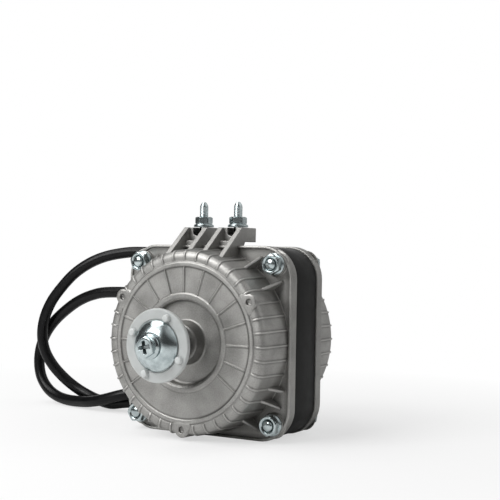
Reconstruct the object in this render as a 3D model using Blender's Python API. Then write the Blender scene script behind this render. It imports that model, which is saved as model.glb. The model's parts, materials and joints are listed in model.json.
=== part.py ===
"""Shaded-pole fan motor with a die-cast ribbed housing, a nylon fan hub and its supply lead.

The shaft lies along Y at half the flange's height. Y is 0 on the front flange's face, the fan hub points to -Y,
and Z is 0 on the flat lower edges of the flanges, which the motor stands on.
"""

import math

import bpy
import bmesh
from mathutils import Matrix, Vector

# Fits
FIT = 0.0003  # clearance between neighbouring pieces
RUNNING_FIT = 0.0001  # round the shaft, in its bearings
SINK = 0.0004  # how far a cast-on feature runs into the wall that carries it

# Square flanges and lamination stack
SIDE = 0.0840
CORNER_R = 0.1726 * SIDE
FRONT_FLANGE_T = 0.0045
REAR_FLANGE_T = 0.0041
STACK_GAP = 0.0196  # from one flange to the other
STACK_INSET = 0.0006
LIP_W = 0.0012
LIP_H = 0.0008

# Ribbed drums, heights measured away from each flange's outer face
DRUM_INSET = 0.0017  # from the flange's edge to the drum's side
DRUM_R = SIDE / 2 - DRUM_INSET
DRUM_DRAFT = 0.0007
SHOULDER_R = 0.0050
FRONT_DEPTH = 0.0199
REAR_DEPTH = 0.0188
WALL = 0.0028
REGISTER = 0.0005  # the drum's wall stops this far inside the flange's back
RING_W = 0.0020
RING_H = 0.0008
RING_INSET = 0.0069  # from the drum's side to the ring's middle
RING_R = DRUM_R - RING_INSET
RIB_COUNT = 40
RIB_W = 0.0008
RIB_H = 0.0005
FACE_RIB_STEP = 18
FACE_RIB_W = 0.0007
FACE_RIB_H = 0.0005
GUSSET_T = 0.0013
GUSSET_H = 0.0086
GUSSET_REACH = 0.0060
SIDE_FIN_ANGLE = -27  # the single fin low on the front shield's right side
SIDE_FIN_REACH = 0.0038
LUG_ANGLES = (30, 150, 270)
LUG_INSET = 0.0032  # from the drum's side to the lug's middle
LUG_CIRCLE_R = DRUM_R - LUG_INSET
LUG_R = 0.0038
LUG_LENGTH = 0.0130
LUG_HOLE_R = 0.0013
LUG_HOLE_DEPTH = 0.0080

# Bearings
BEARING_R = 0.0070
BEARING_LENGTH = 0.0100
HOUSING_WALL = 0.0023
HOUSING_R = BEARING_R + FIT + HOUSING_WALL
FELT_T = 0.0020
CLIP_T = 0.0010
WASHER_R = 0.0060
WASHER_T = 0.0008

# Hub recess and bearing nose
RECESS_R = 0.0184
RECESS_DEPTH = 0.0031  # below the face inside the ring
LIP_RING_W = 0.0021
LIP_RING_R = RECESS_R + 0.8 * LIP_RING_W
NOSE_WALL = 0.0021
NOSE_BASE_R = BEARING_R + NOSE_WALL
NOSE_TIP_R = 0.9 * NOSE_BASE_R
NOSE_LENGTH = 0.0058
NOSE_BORE_R = 0.66 * NOSE_BASE_R
NOSE_BORE_DEPTH = 0.0030
REAR_NOSE_LENGTH = 0.0022

# Through bolts at the four corners
BOLT_SPREAD = 0.4071 * SIDE  # from the shaft, along X and along Z
BOLT_R = 0.0024
BOLT_HEX = 0.0080
BOLT_FLANGE_R = 0.0048
BOLT_FLANGE_T = 0.0010
BOLT_HEAD_H = 0.0044
BOLT_END = 0.0007
PAD_R = 0.0049
PAD_H = 0.0012

# Slot bolts and their nuts
STUD_R = 0.00195
STUD_REACH = 0.0116  # above the platform
STUD_POINT = 0.0026  # its tapered end
STUD_HEX = 0.0070
STUD_HEAD_H = 0.0027
STUD_NUT_FLANGE_R = 0.0046
STUD_NUT_FLANGE_T = 0.0010
STUD_NUT_H = 0.0046

# Bracket platform with its two T-slots
PLATFORM_RISE = 0.0080  # above the flange's edge
PLATFORM_TOP = SIDE / 2 + PLATFORM_RISE  # above the shaft, as are the next two
PLATFORM_UNDERSIDE = SIDE / 2 + 0.0017
STUD_TIP = PLATFORM_TOP + STUD_REACH
PLATFORM_FRONT = 0.0030
PLATFORM_LENGTH = 0.0124
PLATFORM_REAR = PLATFORM_FRONT + PLATFORM_LENGTH
PLATFORM_SLOPE = 0.80
PLATE_T = 0.0024
SLOT_SPREAD = 0.0090
SLOT_W = 2 * STUD_R + 0.0004
SLOT_MOUTH = 0.0012
DECK_T = 0.0027
NOTCH_DEPTH = 0.0038  # of the slot's round end in the front web
CHANNEL_RIB_T = 0.0008
STUD_Y = PLATFORM_FRONT + SLOT_MOUTH + 0.5 * (PLATFORM_LENGTH - SLOT_MOUTH)

# Stator
BORE_R = 0.2571 * SIDE
SHOE_T = 0.0040
SHOE_HALF_ANGLE = 37
POLE_W = 0.0130
YOKE_R = 0.4190 * SIDE
BOBBIN_WALL = 0.0008
COIL_T = 0.0048
BAND_W = 0.0012
BAND_ANGLE = 21

# Rotor
AIR_GAP = 0.0004
BAR_COUNT = 14
BAR_R = 0.0011
BAR_INSET = 0.0026
BAR_CIRCLE_R = BORE_R - AIR_GAP - BAR_INSET
BAR_SKEW = 11
END_RING_T = 0.0032
END_RING_W = 0.0068
SHAFT_R = 0.0030
COLLAR_T = 0.0016
COLLAR_R = SHAFT_R + COLLAR_T

# Fan hub
HUB_STANDOFF = 0.0028  # from the barrel to the nose
HUB_LENGTH = 0.0148
HUB_DISC_R = 0.0154
HUB_DISC_T = 0.0022
HUB_WALL = 0.0019
HUB_BARREL_R = SHAFT_R + FIT + HUB_WALL
HUB_FRONT_WALL = 0.0040
HUB_SEAT_DEPTH = 0.0003  # the shallow seat that centres the washer
DOME_R = 0.01045
DOME_H = 0.0047
DOME_T = 0.0010
PEG_COUNT = 4
PEG_ANGLE = 66
PEG_R = 0.0016
PEG_H = 0.0020
PEG_CIRCLE_R = DOME_R + 2 * FIT + PEG_R
HUB_SCREW_R = 0.0020
HUB_SCREW_LENGTH = 0.0150
HUB_SCREW_HEAD_H = 0.0038
HUB_SCREW_FLANGE_R = 0.0053
HUB_SCREW_HEX = 0.0080
CROSS_W = 0.0012
CROSS_LENGTH = 0.0046
CROSS_DEPTH = 0.0018

# Supply lead
LEAD_R = 0.0028
GLAND_BACK = 0.0098  # behind the rear flange
GLAND_RISE = 0.0180  # above the shaft
GLAND_BOSS_R = 0.0070
GLAND_BOSS_PROUD = 0.0015
GLAND_BOSS_REACH = DRUM_R + GLAND_BOSS_PROUD  # from the shaft, along -X
GLAND_FLANGE_R = GLAND_BOSS_R - 2 * FIT
GLAND_FLANGE_T = 0.0020
GLAND_TAIL_R = LEAD_R + 0.0010
GLAND_NECK_R = GLAND_TAIL_R + 0.0008
GLAND_NECK_LENGTH = 0.0070
GLAND_TAIL_LENGTH = 0.0199
CORE_R = 0.0009
CORE_SPREAD = 0.0038
CORE_LENGTH = 0.0160
FERRULE_R = 0.0006
FERRULE_LENGTH = 0.0060

# How finely round things are cut
DRUM_SEGMENTS = 40
ROUND_SEGMENTS = 24
SMALL_SEGMENTS = 14
SCREW_SEGMENTS = 10
CORD_RESOLUTION = 2

AXIS_Z = SIDE / 2
STACK_FRONT = FRONT_FLANGE_T
STACK_REAR = FRONT_FLANGE_T + STACK_GAP
REAR_FACE = STACK_REAR + REAR_FLANGE_T
FACE_INSET = RING_H  # the face inside the ring lies this far below the ring's crest
GLAND_Y = REAR_FACE + GLAND_BACK

# The lead's way from the gland's tail: x from the tail's end, y from the gland, z above where it rests
FIRST_TURN = [  # out of the gland, down, along the floor in a low hump behind the motor and up over its back
    (-0.0202, 0.0000, 0.0566), (-0.0303, 0.0000, 0.0548), (-0.0397, 0.0003, 0.0512), (-0.0484, 0.0008, 0.0460),
    (-0.0559, 0.0011, 0.0401), (-0.0614, 0.0011, 0.0335), (-0.0646, 0.0008, 0.0260), (-0.0651, 0.0002, 0.0180),
    (-0.0627, -0.0006, 0.0104), (-0.0573, -0.0015, 0.0046), (-0.0501, -0.0025, 0.0013), (-0.0417, -0.0040, 0.0001),
    (-0.0322, -0.0062, 0.0003), (-0.0227, -0.0085, 0.0013), (-0.0137, -0.0095, 0.0033), (-0.0047, -0.0087, 0.0059),
    (0.0043, -0.0058, 0.0080), (0.0133, -0.0014, 0.0089), (0.0223, 0.0036, 0.0084), (0.0311, 0.0084, 0.0076),
    (0.0394, 0.0126, 0.0096), (0.0467, 0.0156, 0.0152), (0.0523, 0.0169, 0.0234), (0.0551, 0.0172, 0.0336),
    (0.0547, 0.0170, 0.0444), (0.0509, 0.0167, 0.0549), (0.0437, 0.0161, 0.0640), (0.0333, 0.0149, 0.0706),
    (0.0207, 0.0131, 0.0748), (0.0070, 0.0110, 0.0770),
]
SECOND_TURN = [  # left, down inside the first turn, under its hump and out to its end on the floor
    (-0.0077, 0.0084, 0.0775), (-0.0163, 0.0065, 0.0768), (-0.0251, 0.0036, 0.0748), (-0.0332, 0.0009, 0.0712),
    (-0.0411, -0.0014, 0.0656), (-0.0479, -0.0032, 0.0583), (-0.0536, -0.0045, 0.0505), (-0.0572, -0.0054, 0.0418),
    (-0.0583, -0.0056, 0.0331), (-0.0569, -0.0049, 0.0249), (-0.0531, -0.0028, 0.0173), (-0.0475, 0.0000, 0.0106),
    (-0.0407, 0.0020, 0.0056), (-0.0328, 0.0027, 0.0022), (-0.0240, 0.0013, 0.0004), (-0.0152, -0.0013, 0.0001),
    (-0.0067, -0.0026, 0.0014), (0.0015, -0.0019, 0.0023), (0.0093, 0.0014, 0.0018), (0.0159, 0.0068, 0.0004),
    (0.0218, 0.0130, 0.0000),
]
LEAD_STEPS = 72


def finish(red, green, blue, roughness, metallic=0.0):
    """What a piece is made of: its linear colour, roughness and metallic value."""
    return {"colour": (red, green, blue, 1.0), "roughness": roughness, "metallic": metallic}


CAST_ALUMINIUM = finish(0.36, 0.35, 0.33, 0.45, 1.0)
BLACK_STACK = finish(0.012, 0.012, 0.013, 0.45)
ZINC = finish(0.62, 0.66, 0.70, 0.25, 1.0)
STEEL = finish(0.45, 0.45, 0.46, 0.35, 1.0)
BRONZE = finish(0.50, 0.33, 0.16, 0.40, 1.0)
COPPER = finish(0.72, 0.30, 0.16, 0.35, 1.0)
NYLON = finish(0.80, 0.80, 0.78, 0.40)
FELT = finish(0.55, 0.52, 0.45, 0.95)
BLACK_RUBBER = finish(0.012, 0.012, 0.012, 0.55)
LEAD_SHEATH = finish(0.010, 0.010, 0.011, 0.40)
BROWN_CORE = finish(0.12, 0.05, 0.02, 0.40)
BLUE_CORE = finish(0.02, 0.10, 0.45, 0.40)
EARTH_CORE = finish(0.15, 0.45, 0.04, 0.40)


def material(name, look):
    """A Principled material in the piece's own colour."""
    made = bpy.data.materials.new(name)
    made.use_nodes = True
    shader = made.node_tree.nodes["Principled BSDF"]
    shader.inputs["Base Color"].default_value = look["colour"]
    shader.inputs["Roughness"].default_value = look["roughness"]
    shader.inputs["Metallic"].default_value = look["metallic"]
    return made


def turned(profile, segments, turn=0.0):
    """A bmesh turned round the Y axis from (radius, y) points; a radius of 0 closes an end.

    A third value sets a ring's own segment count, which may be half or double its neighbour's.
    """
    bm = bmesh.new()
    rings = []
    for radius, y, *own in profile:
        count = own[0] if own else segments
        if radius < 1e-9:
            rings.append([bm.verts.new((0, y, 0))])
            continue
        angles = [turn + math.tau * i / count for i in range(count)]
        rings.append([bm.verts.new((radius * math.cos(a), y, radius * math.sin(a))) for a in angles])
    for first, second in zip(rings, rings[1:] + rings[:1]):
        steps = min(len(first), len(second))
        if steps == 1:
            steps = max(len(first), len(second))
        for i in range(steps):
            corners = span(first, i, steps) + span(second, i, steps)[::-1]
            corners = list(dict.fromkeys(corners))
            if len(corners) > 2:
                bm.faces.new(corners)
    bmesh.ops.recalc_face_normals(bm, faces=bm.faces)
    return bm


def span(ring, index, steps):
    """A ring's vertices from one of so many steps round it to the next."""
    if len(ring) == 1:
        return [ring[0]]
    share = len(ring) // steps
    return [ring[(index * share + k) % len(ring)] for k in range(share + 1)]


def prism(outline, start, end, skew=0.0):
    """A bmesh of an (x, z) outline run along Y, its far end turned round the Y axis by skew."""
    bm = bmesh.new()
    turn = Matrix.Rotation(skew, 3, "Y")
    near = [bm.verts.new((x, start, z)) for x, z in outline]
    far = [bm.verts.new(turn @ Vector((x, end, z))) for x, z in outline]
    bm.faces.new(near)
    bm.faces.new(far)
    for i in range(len(outline)):
        j = (i + 1) % len(outline)
        bm.faces.new((near[i], near[j], far[j], far[i]))
    bmesh.ops.recalc_face_normals(bm, faces=bm.faces)
    return bm


def looped(loops):
    """A bmesh that joins closed loops of as many points, the last back to the first."""
    bm = bmesh.new()
    rings = [[bm.verts.new(point) for point in loop] for loop in loops]
    count = len(loops[0])
    for first, second in zip(rings, rings[1:] + rings[:1]):
        for i in range(count):
            j = (i + 1) % count
            bm.faces.new((first[i], first[j], second[j], second[i]))
    bmesh.ops.recalc_face_normals(bm, faces=bm.faces)
    return bm


def at_height(outline, y):
    """An (x, z) outline as points at one y."""
    return [(x, y, z) for x, z in outline]


def frame_prism(outer, inner, start, end):
    """A bmesh of a frame between two outlines with as many points as each other, run along Y."""
    return looped([at_height(outer, start), at_height(outer, end), at_height(inner, end), at_height(inner, start)])


def slab(corner, opposite):
    """A bmesh of a block between two opposite corners."""
    bm = bmesh.new()
    bmesh.ops.create_cube(bm, size=1.0)
    low = Vector(corner)
    high = Vector(opposite)
    for vert in bm.verts:
        vert.co = Vector((low[k] + (high[k] - low[k]) * (vert.co[k] + 0.5) for k in range(3)))
    return bm


def rounded_rectangle(width, height, radius, steps):
    """The (x, z) outline of a rectangle with round corners, centred on the origin."""
    points = []
    for quarter in range(4):
        centre_x = (width / 2 - radius) * (1 if quarter in (0, 3) else -1)
        centre_z = (height / 2 - radius) * (1 if quarter in (0, 1) else -1)
        for step in range(steps + 1):
            angle = math.pi / 2 * (quarter + step / steps)
            points.append((centre_x + radius * math.cos(angle), centre_z + radius * math.sin(angle)))
    return points


def hexagon(across_flats, turn=0.0):
    """The (x, z) outline of a hexagon."""
    radius = across_flats / math.sqrt(3)
    angles = [turn + math.radians(60 * i) for i in range(6)]
    return [(radius * math.cos(a), radius * math.sin(a)) for a in angles]


def moved(bm, matrix):
    """The same bmesh after a move or a turn."""
    bmesh.ops.transform(bm, matrix=matrix, verts=bm.verts)
    return bm


def about_shaft(degrees):
    """A turn round the shaft that brings +X up to an angle from +X towards +Z."""
    return Matrix.Rotation(-math.radians(degrees), 4, "Y")


def gathered(parts):
    """One bmesh of several that don't touch."""
    whole = bmesh.new()
    for part in parts:
        mesh = bpy.data.meshes.new("gathered")
        part.to_mesh(mesh)
        part.free()
        whole.from_mesh(mesh)
        bpy.data.meshes.remove(mesh)
    return whole


def combined(base, added=(), cut=(), kept=()):
    """The bmesh left when the added ones are joined to the base, then the cutters taken away, then the rest cropped."""
    body = to_object("body", base)
    groups = []
    for operation, parts in (("UNION", added), ("DIFFERENCE", cut), ("INTERSECT", kept)):
        if not parts:
            continue
        group = bpy.data.collections.new("tools")
        bpy.context.scene.collection.children.link(group)
        groups.append(group)
        for part in parts:
            tool = to_object("tool", part)
            bpy.context.scene.collection.objects.unlink(tool)
            group.objects.link(tool)
        step = body.modifiers.new("step", "BOOLEAN")
        step.operation = operation
        step.solver = "EXACT"
        step.operand_type = "COLLECTION"
        step.collection = group
    bpy.context.view_layer.update()
    result = bpy.data.meshes.new_from_object(body.evaluated_get(bpy.context.evaluated_depsgraph_get()))
    made = bmesh.new()
    made.from_mesh(result)
    for group in groups:
        for tool in list(group.objects):
            bpy.data.objects.remove(tool)
        bpy.data.collections.remove(group)
    bpy.data.objects.remove(body)
    return made


def to_object(name, bm):
    """An object in the scene that holds the bmesh."""
    mesh = bpy.data.meshes.new(name)
    bm.to_mesh(mesh)
    bm.free()
    made = bpy.data.objects.new(name, mesh)
    bpy.context.scene.collection.objects.link(made)
    return made


def piece(name, bm, look, parent, sharp=35):
    """A finished sub-part, carried by one of the two empties on the shaft's axis."""
    made = to_object(name, bm)
    made.data.materials.clear()
    made.data.materials.append(material(name, look))
    made.data.shade_smooth()
    made.data.set_sharp_from_angle(angle=math.radians(sharp))
    made.parent = parent
    return made


def copied(name, source, place):
    """Another object with the same mesh, moved and turned about the shaft's frame."""
    made = bpy.data.objects.new(name, source.data)
    bpy.context.scene.collection.objects.link(made)
    made.parent = source.parent
    made.matrix_local = place
    return made


def axis_empty(name):
    """An empty on the shaft's axis."""
    made = bpy.data.objects.new(name, None)
    bpy.context.scene.collection.objects.link(made)
    made.location = (0, 0, AXIS_Z)
    return made


def square(inset=0.0, steps=4):
    """The flange's outline, drawn in by an inset."""
    return rounded_rectangle(SIDE - 2 * inset, SIDE - 2 * inset, CORNER_R - inset, steps)


def corner_places():
    """The four bolt places as (x, z), anticlockwise from the upper right."""
    return [(BOLT_SPREAD * i, BOLT_SPREAD * k) for i, k in ((1, 1), (-1, 1), (-1, -1), (1, -1))]


def shoulder_arc(depth, grow, angles):
    """Points on the drum's rounded shoulder, offset outwards, as (radius, height)."""
    centre = DRUM_R - DRUM_DRAFT - SHOULDER_R
    base = depth - 0.5 * RING_H - SHOULDER_R
    reach = SHOULDER_R + grow
    return [(centre + reach * math.cos(math.radians(a)), base + reach * math.sin(math.radians(a))) for a in angles]


def housing_depths(depth):
    """Heights inside a shield: the recess floor, the pocket's closed end and the bearing housing's open end."""
    floor = depth - FACE_INSET - RECESS_DEPTH
    pocket_end = floor + 0.0010
    housing_end = pocket_end - FELT_T - BEARING_LENGTH - CLIP_T - 4 * FIT
    return floor, pocket_end, housing_end


def drum_shell(depth, thickness, nose_length, open_nose):
    """The hollow drum in one turn: side, shoulder, ring, hub recess, bearing nose, pocket and inside."""
    face = depth - FACE_INSET
    shoulder = depth - 0.5 * RING_H
    floor, pocket_end, housing_end = housing_depths(depth)
    tip = floor + nose_length
    lip_in = LIP_RING_R - LIP_RING_W / 2
    lip_out = LIP_RING_R + LIP_RING_W / 2
    outside = [(DRUM_R, REGISTER - thickness)] + shoulder_arc(depth, 0.0, (0, 28, 62))
    outside += [(RING_R + RING_W / 2 + 0.3 * RING_H, shoulder), (RING_R + RING_W / 2, depth)]
    outside += [(RING_R - RING_W / 2, depth), (RING_R - RING_W / 2 - 0.3 * RING_H, face)]
    outside += [(lip_out + 0.4 * RING_H, face), (lip_out, face + 0.8 * RING_H), (lip_in, face + 0.8 * RING_H)]
    outside += [(RECESS_R, face - 0.0003), (RECESS_R - 0.0002, floor + 0.0014), (RECESS_R - 0.0014, floor)]
    inside = [(NOSE_BASE_R + 0.0006, floor), (NOSE_BASE_R, floor + 0.0006), (NOSE_TIP_R, tip)]
    if open_nose:
        bore = SHAFT_R + 2 * FIT
        mouth = tip - NOSE_BORE_DEPTH
        inside += [(NOSE_BORE_R, tip), (NOSE_BORE_R, mouth), (bore, mouth), (bore, pocket_end)]
    else:
        inside += [(0, tip), (0, pocket_end)]
    inside += [(BEARING_R + FIT, pocket_end), (BEARING_R + FIT, housing_end), (HOUSING_R, housing_end)]
    inside += [(HOUSING_R + 0.0012, floor - WALL), (RECESS_R + WALL / 2, floor - WALL)]
    inner_r = DRUM_R - DRUM_DRAFT - WALL
    soft = 0.7 * SHOULDER_R
    inside += [(RECESS_R + WALL, face - WALL), (inner_r - soft, face - WALL), (inner_r, face - WALL - soft)]
    inside.append((DRUM_R - WALL, REGISTER - thickness))
    profile = [(r, h, DRUM_SEGMENTS) for r, h in outside] + [(r, h, DRUM_SEGMENTS // 2) for r, h in inside]
    return turned(profile, DRUM_SEGMENTS, math.pi / DRUM_SEGMENTS)


def drum_ribs(depth):
    """Thin blades that run up the drum's side and over its shoulder to the ring."""
    at_ring = RING_R + 0.3 * RING_W
    outline = [(at_ring, depth - 0.25 * RING_H)] + shoulder_arc(depth, RIB_H, (62, 28))
    outline += [(DRUM_R + RIB_H, -SINK), (DRUM_R - 0.4 * WALL, -SINK)]
    outline += shoulder_arc(depth, -0.4 * WALL, (20,)) + [(at_ring, depth - 0.6 * WALL)]
    return [radial_blade(outline, RIB_W, 360 / RIB_COUNT * i) for i in range(RIB_COUNT)]


def radial_blade(outline, thickness, degrees):
    """A plate in a plane through the shaft's axis, from (radius, height) points, at an angle from +X."""
    bm = bmesh.new()
    sides = [[bm.verts.new((r, h, k * thickness / 2)) for r, h in outline] for k in (-1, 1)]
    bm.faces.new(sides[0])
    bm.faces.new(sides[1])
    for i in range(len(outline)):
        j = (i + 1) % len(outline)
        bm.faces.new((sides[0][i], sides[0][j], sides[1][j], sides[1][i]))
    bmesh.ops.recalc_face_normals(bm, faces=bm.faces)
    return moved(bm, about_shaft(degrees))


def face_ribs(depth, first, last):
    """The fine radial ribs between the hub recess and the ring."""
    face = depth - FACE_INSET
    inner = LIP_RING_R
    outer = RING_R
    outline = [(inner, face - SINK), (outer, face - SINK), (outer, face + FACE_RIB_H), (inner, face + FACE_RIB_H)]
    count = (last - first) // FACE_RIB_STEP + 1
    return [radial_blade(outline, FACE_RIB_W, first + FACE_RIB_STEP * i) for i in range(count)]


def gussets():
    """Sloped fins that brace the drum against the flange on both sides of each bolt."""
    step = 360 / RIB_COUNT
    angles = [corner + side * step for corner in (45, 135, 225, 315) for side in (-1, 1)]
    return [sloped_fin(angle, GUSSET_REACH) for angle in angles]


def sloped_fin(degrees, reach):
    """One fin from the drum's side down to the flange, so far out from the drum."""
    inner = DRUM_R - WALL / 2
    outer = DRUM_R + reach
    outline = [(inner, -SINK), (outer, -SINK), (outer, LIP_H), (DRUM_R, GUSSET_H), (inner, GUSSET_H)]
    return radial_blade(outline, GUSSET_T, degrees)


def shaft_cylinder(radius, start, end, segments, at=(0.0, 0.0)):
    """A cylinder along Y."""
    bm = turned([(0, start), (radius, start), (radius, end), (0, end)], segments)
    return moved(bm, Matrix.Translation((at[0], 0, at[1])))


def flip(bm, base, way):
    """Moves a bmesh from heights above a flange to Y, mirrored for the front."""
    moved(bm, Matrix.Translation((0, base, 0)) @ Matrix.Diagonal((1, way, 1, 1)))
    if way < 0:
        bmesh.ops.reverse_faces(bm, faces=bm.faces)
    return bm


def with_side_points(outline, parts):
    """An outline whose straight sides are cut into so many parts."""
    points = []
    for here, there in zip(outline, outline[1:] + outline[:1]):
        cuts = parts if math.dist(here, there) > CORNER_R else 1
        for k in range(cuts):
            points.append(tuple(a + (b - a) * k / cuts for a, b in zip(here, there)))
    return points


def flange_plate(thickness):
    """The square flange round the drum, face at height 0, with the raised edge round its face."""
    outer = with_side_points(square(), 4)
    inner = with_side_points(square(LIP_W), 4)
    hole_r = DRUM_R - WALL / 2
    hole = [(x * hole_r / math.hypot(x, z), z * hole_r / math.hypot(x, z)) for x, z in inner]
    loops = [at_height(outer, -thickness), at_height(outer, LIP_H), at_height(inner, LIP_H)]
    return looped(loops + [at_height(inner, 0), at_height(hole, 0), at_height(hole, -thickness)])


def bolt_pads():
    """Round pads under the nuts and bolt heads."""
    return [shaft_cylinder(PAD_R, -SINK, PAD_H, SMALL_SEGMENTS, at) for at in corner_places()]


def bolt_holes(start, end):
    """Cutters for the four through bolts."""
    return [shaft_cylinder(BOLT_R + FIT, start, end, SCREW_SEGMENTS, at) for at in corner_places()]


def lug_places():
    """The three guard lugs as (x, z)."""
    return [(LUG_CIRCLE_R * math.cos(math.radians(a)), LUG_CIRCLE_R * math.sin(math.radians(a)))
            for a in LUG_ANGLES]


def shield_casting(depth, thickness, nose_length, open_nose):
    """The parts a shield is cast from, in heights above its flange: the plate, then all that stands on it."""
    added = [drum_shell(depth, thickness, nose_length, open_nose), gathered(drum_ribs(depth))]
    added += [gathered(gussets()), gathered(bolt_pads())]
    return flange_plate(thickness), added


def platform_plates():
    """The four side plates of the bracket platform, with the sloped front edges."""
    return [plate_along_x(plate_outline(max(abs(start), abs(end))), start, end) for start, end in plate_spans()]


def plate_outline(outer_x):
    """A side plate as (y, z) points, its foot sunk into the drum's wall."""
    foot = math.sqrt((DRUM_R - WALL / 2) ** 2 - outer_x ** 2)
    low_front = PLATFORM_FRONT - (PLATFORM_TOP - foot) / PLATFORM_SLOPE
    flange_in = FRONT_FLANGE_T - SINK
    outline = [(low_front, foot), (PLATFORM_FRONT, PLATFORM_TOP), (PLATFORM_REAR, PLATFORM_TOP)]
    outline += [(PLATFORM_REAR, PLATFORM_UNDERSIDE), (FRONT_FLANGE_T + 0.0015, PLATFORM_UNDERSIDE)]
    return outline + [(flange_in, AXIS_Z - LIP_W), (flange_in, foot)]


def head_channel_w():
    """The width of the channel that holds a slot bolt's head."""
    return STUD_HEX + 2 * FIT


def plate_spans():
    """Where each of the four plates lies along X."""
    half_channel = head_channel_w() / 2
    spans = []
    for slot in (-SLOT_SPREAD, SLOT_SPREAD):
        low = slot - half_channel
        high = slot + half_channel
        spans += [(low - PLATE_T, low), (high, high + PLATE_T)]
    return spans


def plate_along_x(outline, start, end):
    """A plate from (y, z) points, run along X."""
    bm = bmesh.new()
    sides = [[bm.verts.new((x, y, z)) for y, z in outline] for x in (start, end)]
    bm.faces.new(sides[0])
    bm.faces.new(sides[1])
    for i in range(len(outline)):
        j = (i + 1) % len(outline)
        bm.faces.new((sides[0][i], sides[0][j], sides[1][j], sides[1][i]))
    bmesh.ops.recalc_face_normals(bm, faces=bm.faces)
    return bm


def platform_channels():
    """The slotted decks and ledges of the two head channels, the webs that close them and the ribs before those."""
    decks = []
    webs = []
    ribs = []
    low = PLATFORM_TOP - DECK_T
    high = PLATFORM_TOP - 0.5 * FIT
    near = PLATFORM_FRONT + SLOT_MOUTH
    far = PLATFORM_REAR - 0.5 * FIT
    ledge = low - STUD_HEAD_H - 2 * FIT
    web_back = STUD_Y - STUD_HEX / math.sqrt(3) - FIT
    for slot in (-SLOT_SPREAD, SLOT_SPREAD):
        reach = head_channel_w() / 2 + SINK
        for side in (-1, 1):
            decks.append(slab((slot + side * SLOT_W / 2, near, low), (slot + side * reach, far, high)))
        foot = DRUM_R - WALL
        decks.append(slab((slot - reach, SINK, foot), (slot + reach, near + 0.5 * SINK, ledge)))
        webs.append(prism(web_outline(slot, ledge - 0.5 * SINK, low + 0.5 * SINK), near + 0.2 * SINK, web_back))
        ribs.append(channel_rib(slot, near + 0.35 * SINK))
    return decks, webs, ribs


def web_outline(slot, low, high):
    """A channel's front web as (x, z) points, with the slot's round end cut into its top."""
    side = head_channel_w() / 2 + 0.7 * SINK
    half = SLOT_W / 2 + 0.2 * SINK
    sag = high - PLATFORM_TOP + NOTCH_DEPTH
    notch = [(slot + half * math.cos(math.radians(a)), high - sag * math.sin(math.radians(a)))
             for a in range(0, 181, 30)]
    return [(slot + side, low), (slot + side, high)] + notch + [(slot - side, high), (slot - side, low)]


def channel_rib(slot, back):
    """The thin rib before a channel's web, its edge sloped like the side plates."""
    foot = math.sqrt((DRUM_R - WALL / 2) ** 2 - (abs(slot) + CHANNEL_RIB_T / 2) ** 2)
    top = PLATFORM_TOP - NOTCH_DEPTH - CHANNEL_RIB_T
    outline = [(back, top), (back - (top - foot) / PLATFORM_SLOPE, foot), (back, foot)]
    return plate_along_x(outline, slot - CHANNEL_RIB_T / 2, slot + CHANNEL_RIB_T / 2)


def front_shield(parent):
    """The die-cast front shield: flange, ribbed drum, ring, lugs, bearing nose and bracket platform."""
    top = FRONT_DEPTH + 0.25 * RING_H
    plate, added = shield_casting(FRONT_DEPTH, FRONT_FLANGE_T, NOSE_LENGTH, True)
    lugs = [shaft_cylinder(LUG_R, FRONT_DEPTH - LUG_LENGTH, top, SMALL_SEGMENTS, at) for at in lug_places()]
    added += [gathered(face_ribs(FRONT_DEPTH, -2 * FACE_RIB_STEP, 12 * FACE_RIB_STEP)), gathered(lugs)]
    added.append(sloped_fin(SIDE_FIN_ANGLE, SIDE_FIN_REACH))
    added = [flip(part, 0, -1) for part in added] + [gathered(platform_plates())]
    added += [gathered(group) for group in platform_channels()]
    holes = [shaft_cylinder(LUG_HOLE_R, top - LUG_HOLE_DEPTH, top + SINK, SCREW_SEGMENTS, at) for at in lug_places()]
    holes += bolt_holes(-2 * FRONT_FLANGE_T, FRONT_DEPTH)
    shape = combined(flip(plate, 0, -1), added, [flip(gathered(holes), 0, -1)])
    return piece("front_shield", shape, CAST_ALUMINIUM, parent)


def rear_shield(parent):
    """The die-cast rear shield, closed over the shaft's end, with the bored boss for the lead's gland."""
    plate, added = shield_casting(REAR_DEPTH, REAR_FLANGE_T, REAR_NOSE_LENGTH, False)
    root = GLAND_BOSS_REACH - GLAND_BOSS_R - 0.0055
    height = GLAND_Y - REAR_FACE
    boss = shaft_cylinder(GLAND_BOSS_R, root, GLAND_BOSS_REACH, SMALL_SEGMENTS)
    hole = shaft_cylinder(GLAND_NECK_R + FIT, root - SINK, GLAND_BOSS_REACH + SINK, SMALL_SEGMENTS)
    added += [gathered(face_ribs(REAR_DEPTH, 0, 19 * FACE_RIB_STEP)), along_minus_x(boss, height)]
    holes = bolt_holes(-2 * REAR_FLANGE_T, REAR_DEPTH) + [along_minus_x(hole, height)]
    shape = flip(combined(plate, added, [gathered(holes)]), REAR_FACE, 1)
    return piece("rear_shield", shape, CAST_ALUMINIUM, parent)


def along_minus_x(bm, y):
    """Lays a shape turned round Y along -X instead, at the gland's place."""
    turn = Matrix.Rotation(math.radians(90), 4, "Z")
    return moved(bm, Matrix.Translation((0, y, GLAND_RISE)) @ turn)


def pole_window():
    """The (x, z) outline of the stator's opening: the bore, the slots beside the pole bodies and the yoke."""
    shoe_r = BORE_R + SHOE_T
    half = POLE_W / 2
    shoe = math.radians(SHOE_HALF_ANGLE)
    body_in = math.asin(half / shoe_r)
    body_out = math.asin(half / YOKE_R)
    points = []
    for pole in range(4):
        middle = math.pi / 2 * pole
        points += arc(BORE_R, middle - shoe, middle + shoe, 8)
        points += arc(shoe_r, middle + shoe, middle + body_in, 3)
        points += arc(YOKE_R, middle + body_out, middle + math.pi / 2 - body_out, 6)
        points += arc(shoe_r, middle + math.pi / 2 - body_in, middle + math.pi / 2 - shoe, 3)
    return points


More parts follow.
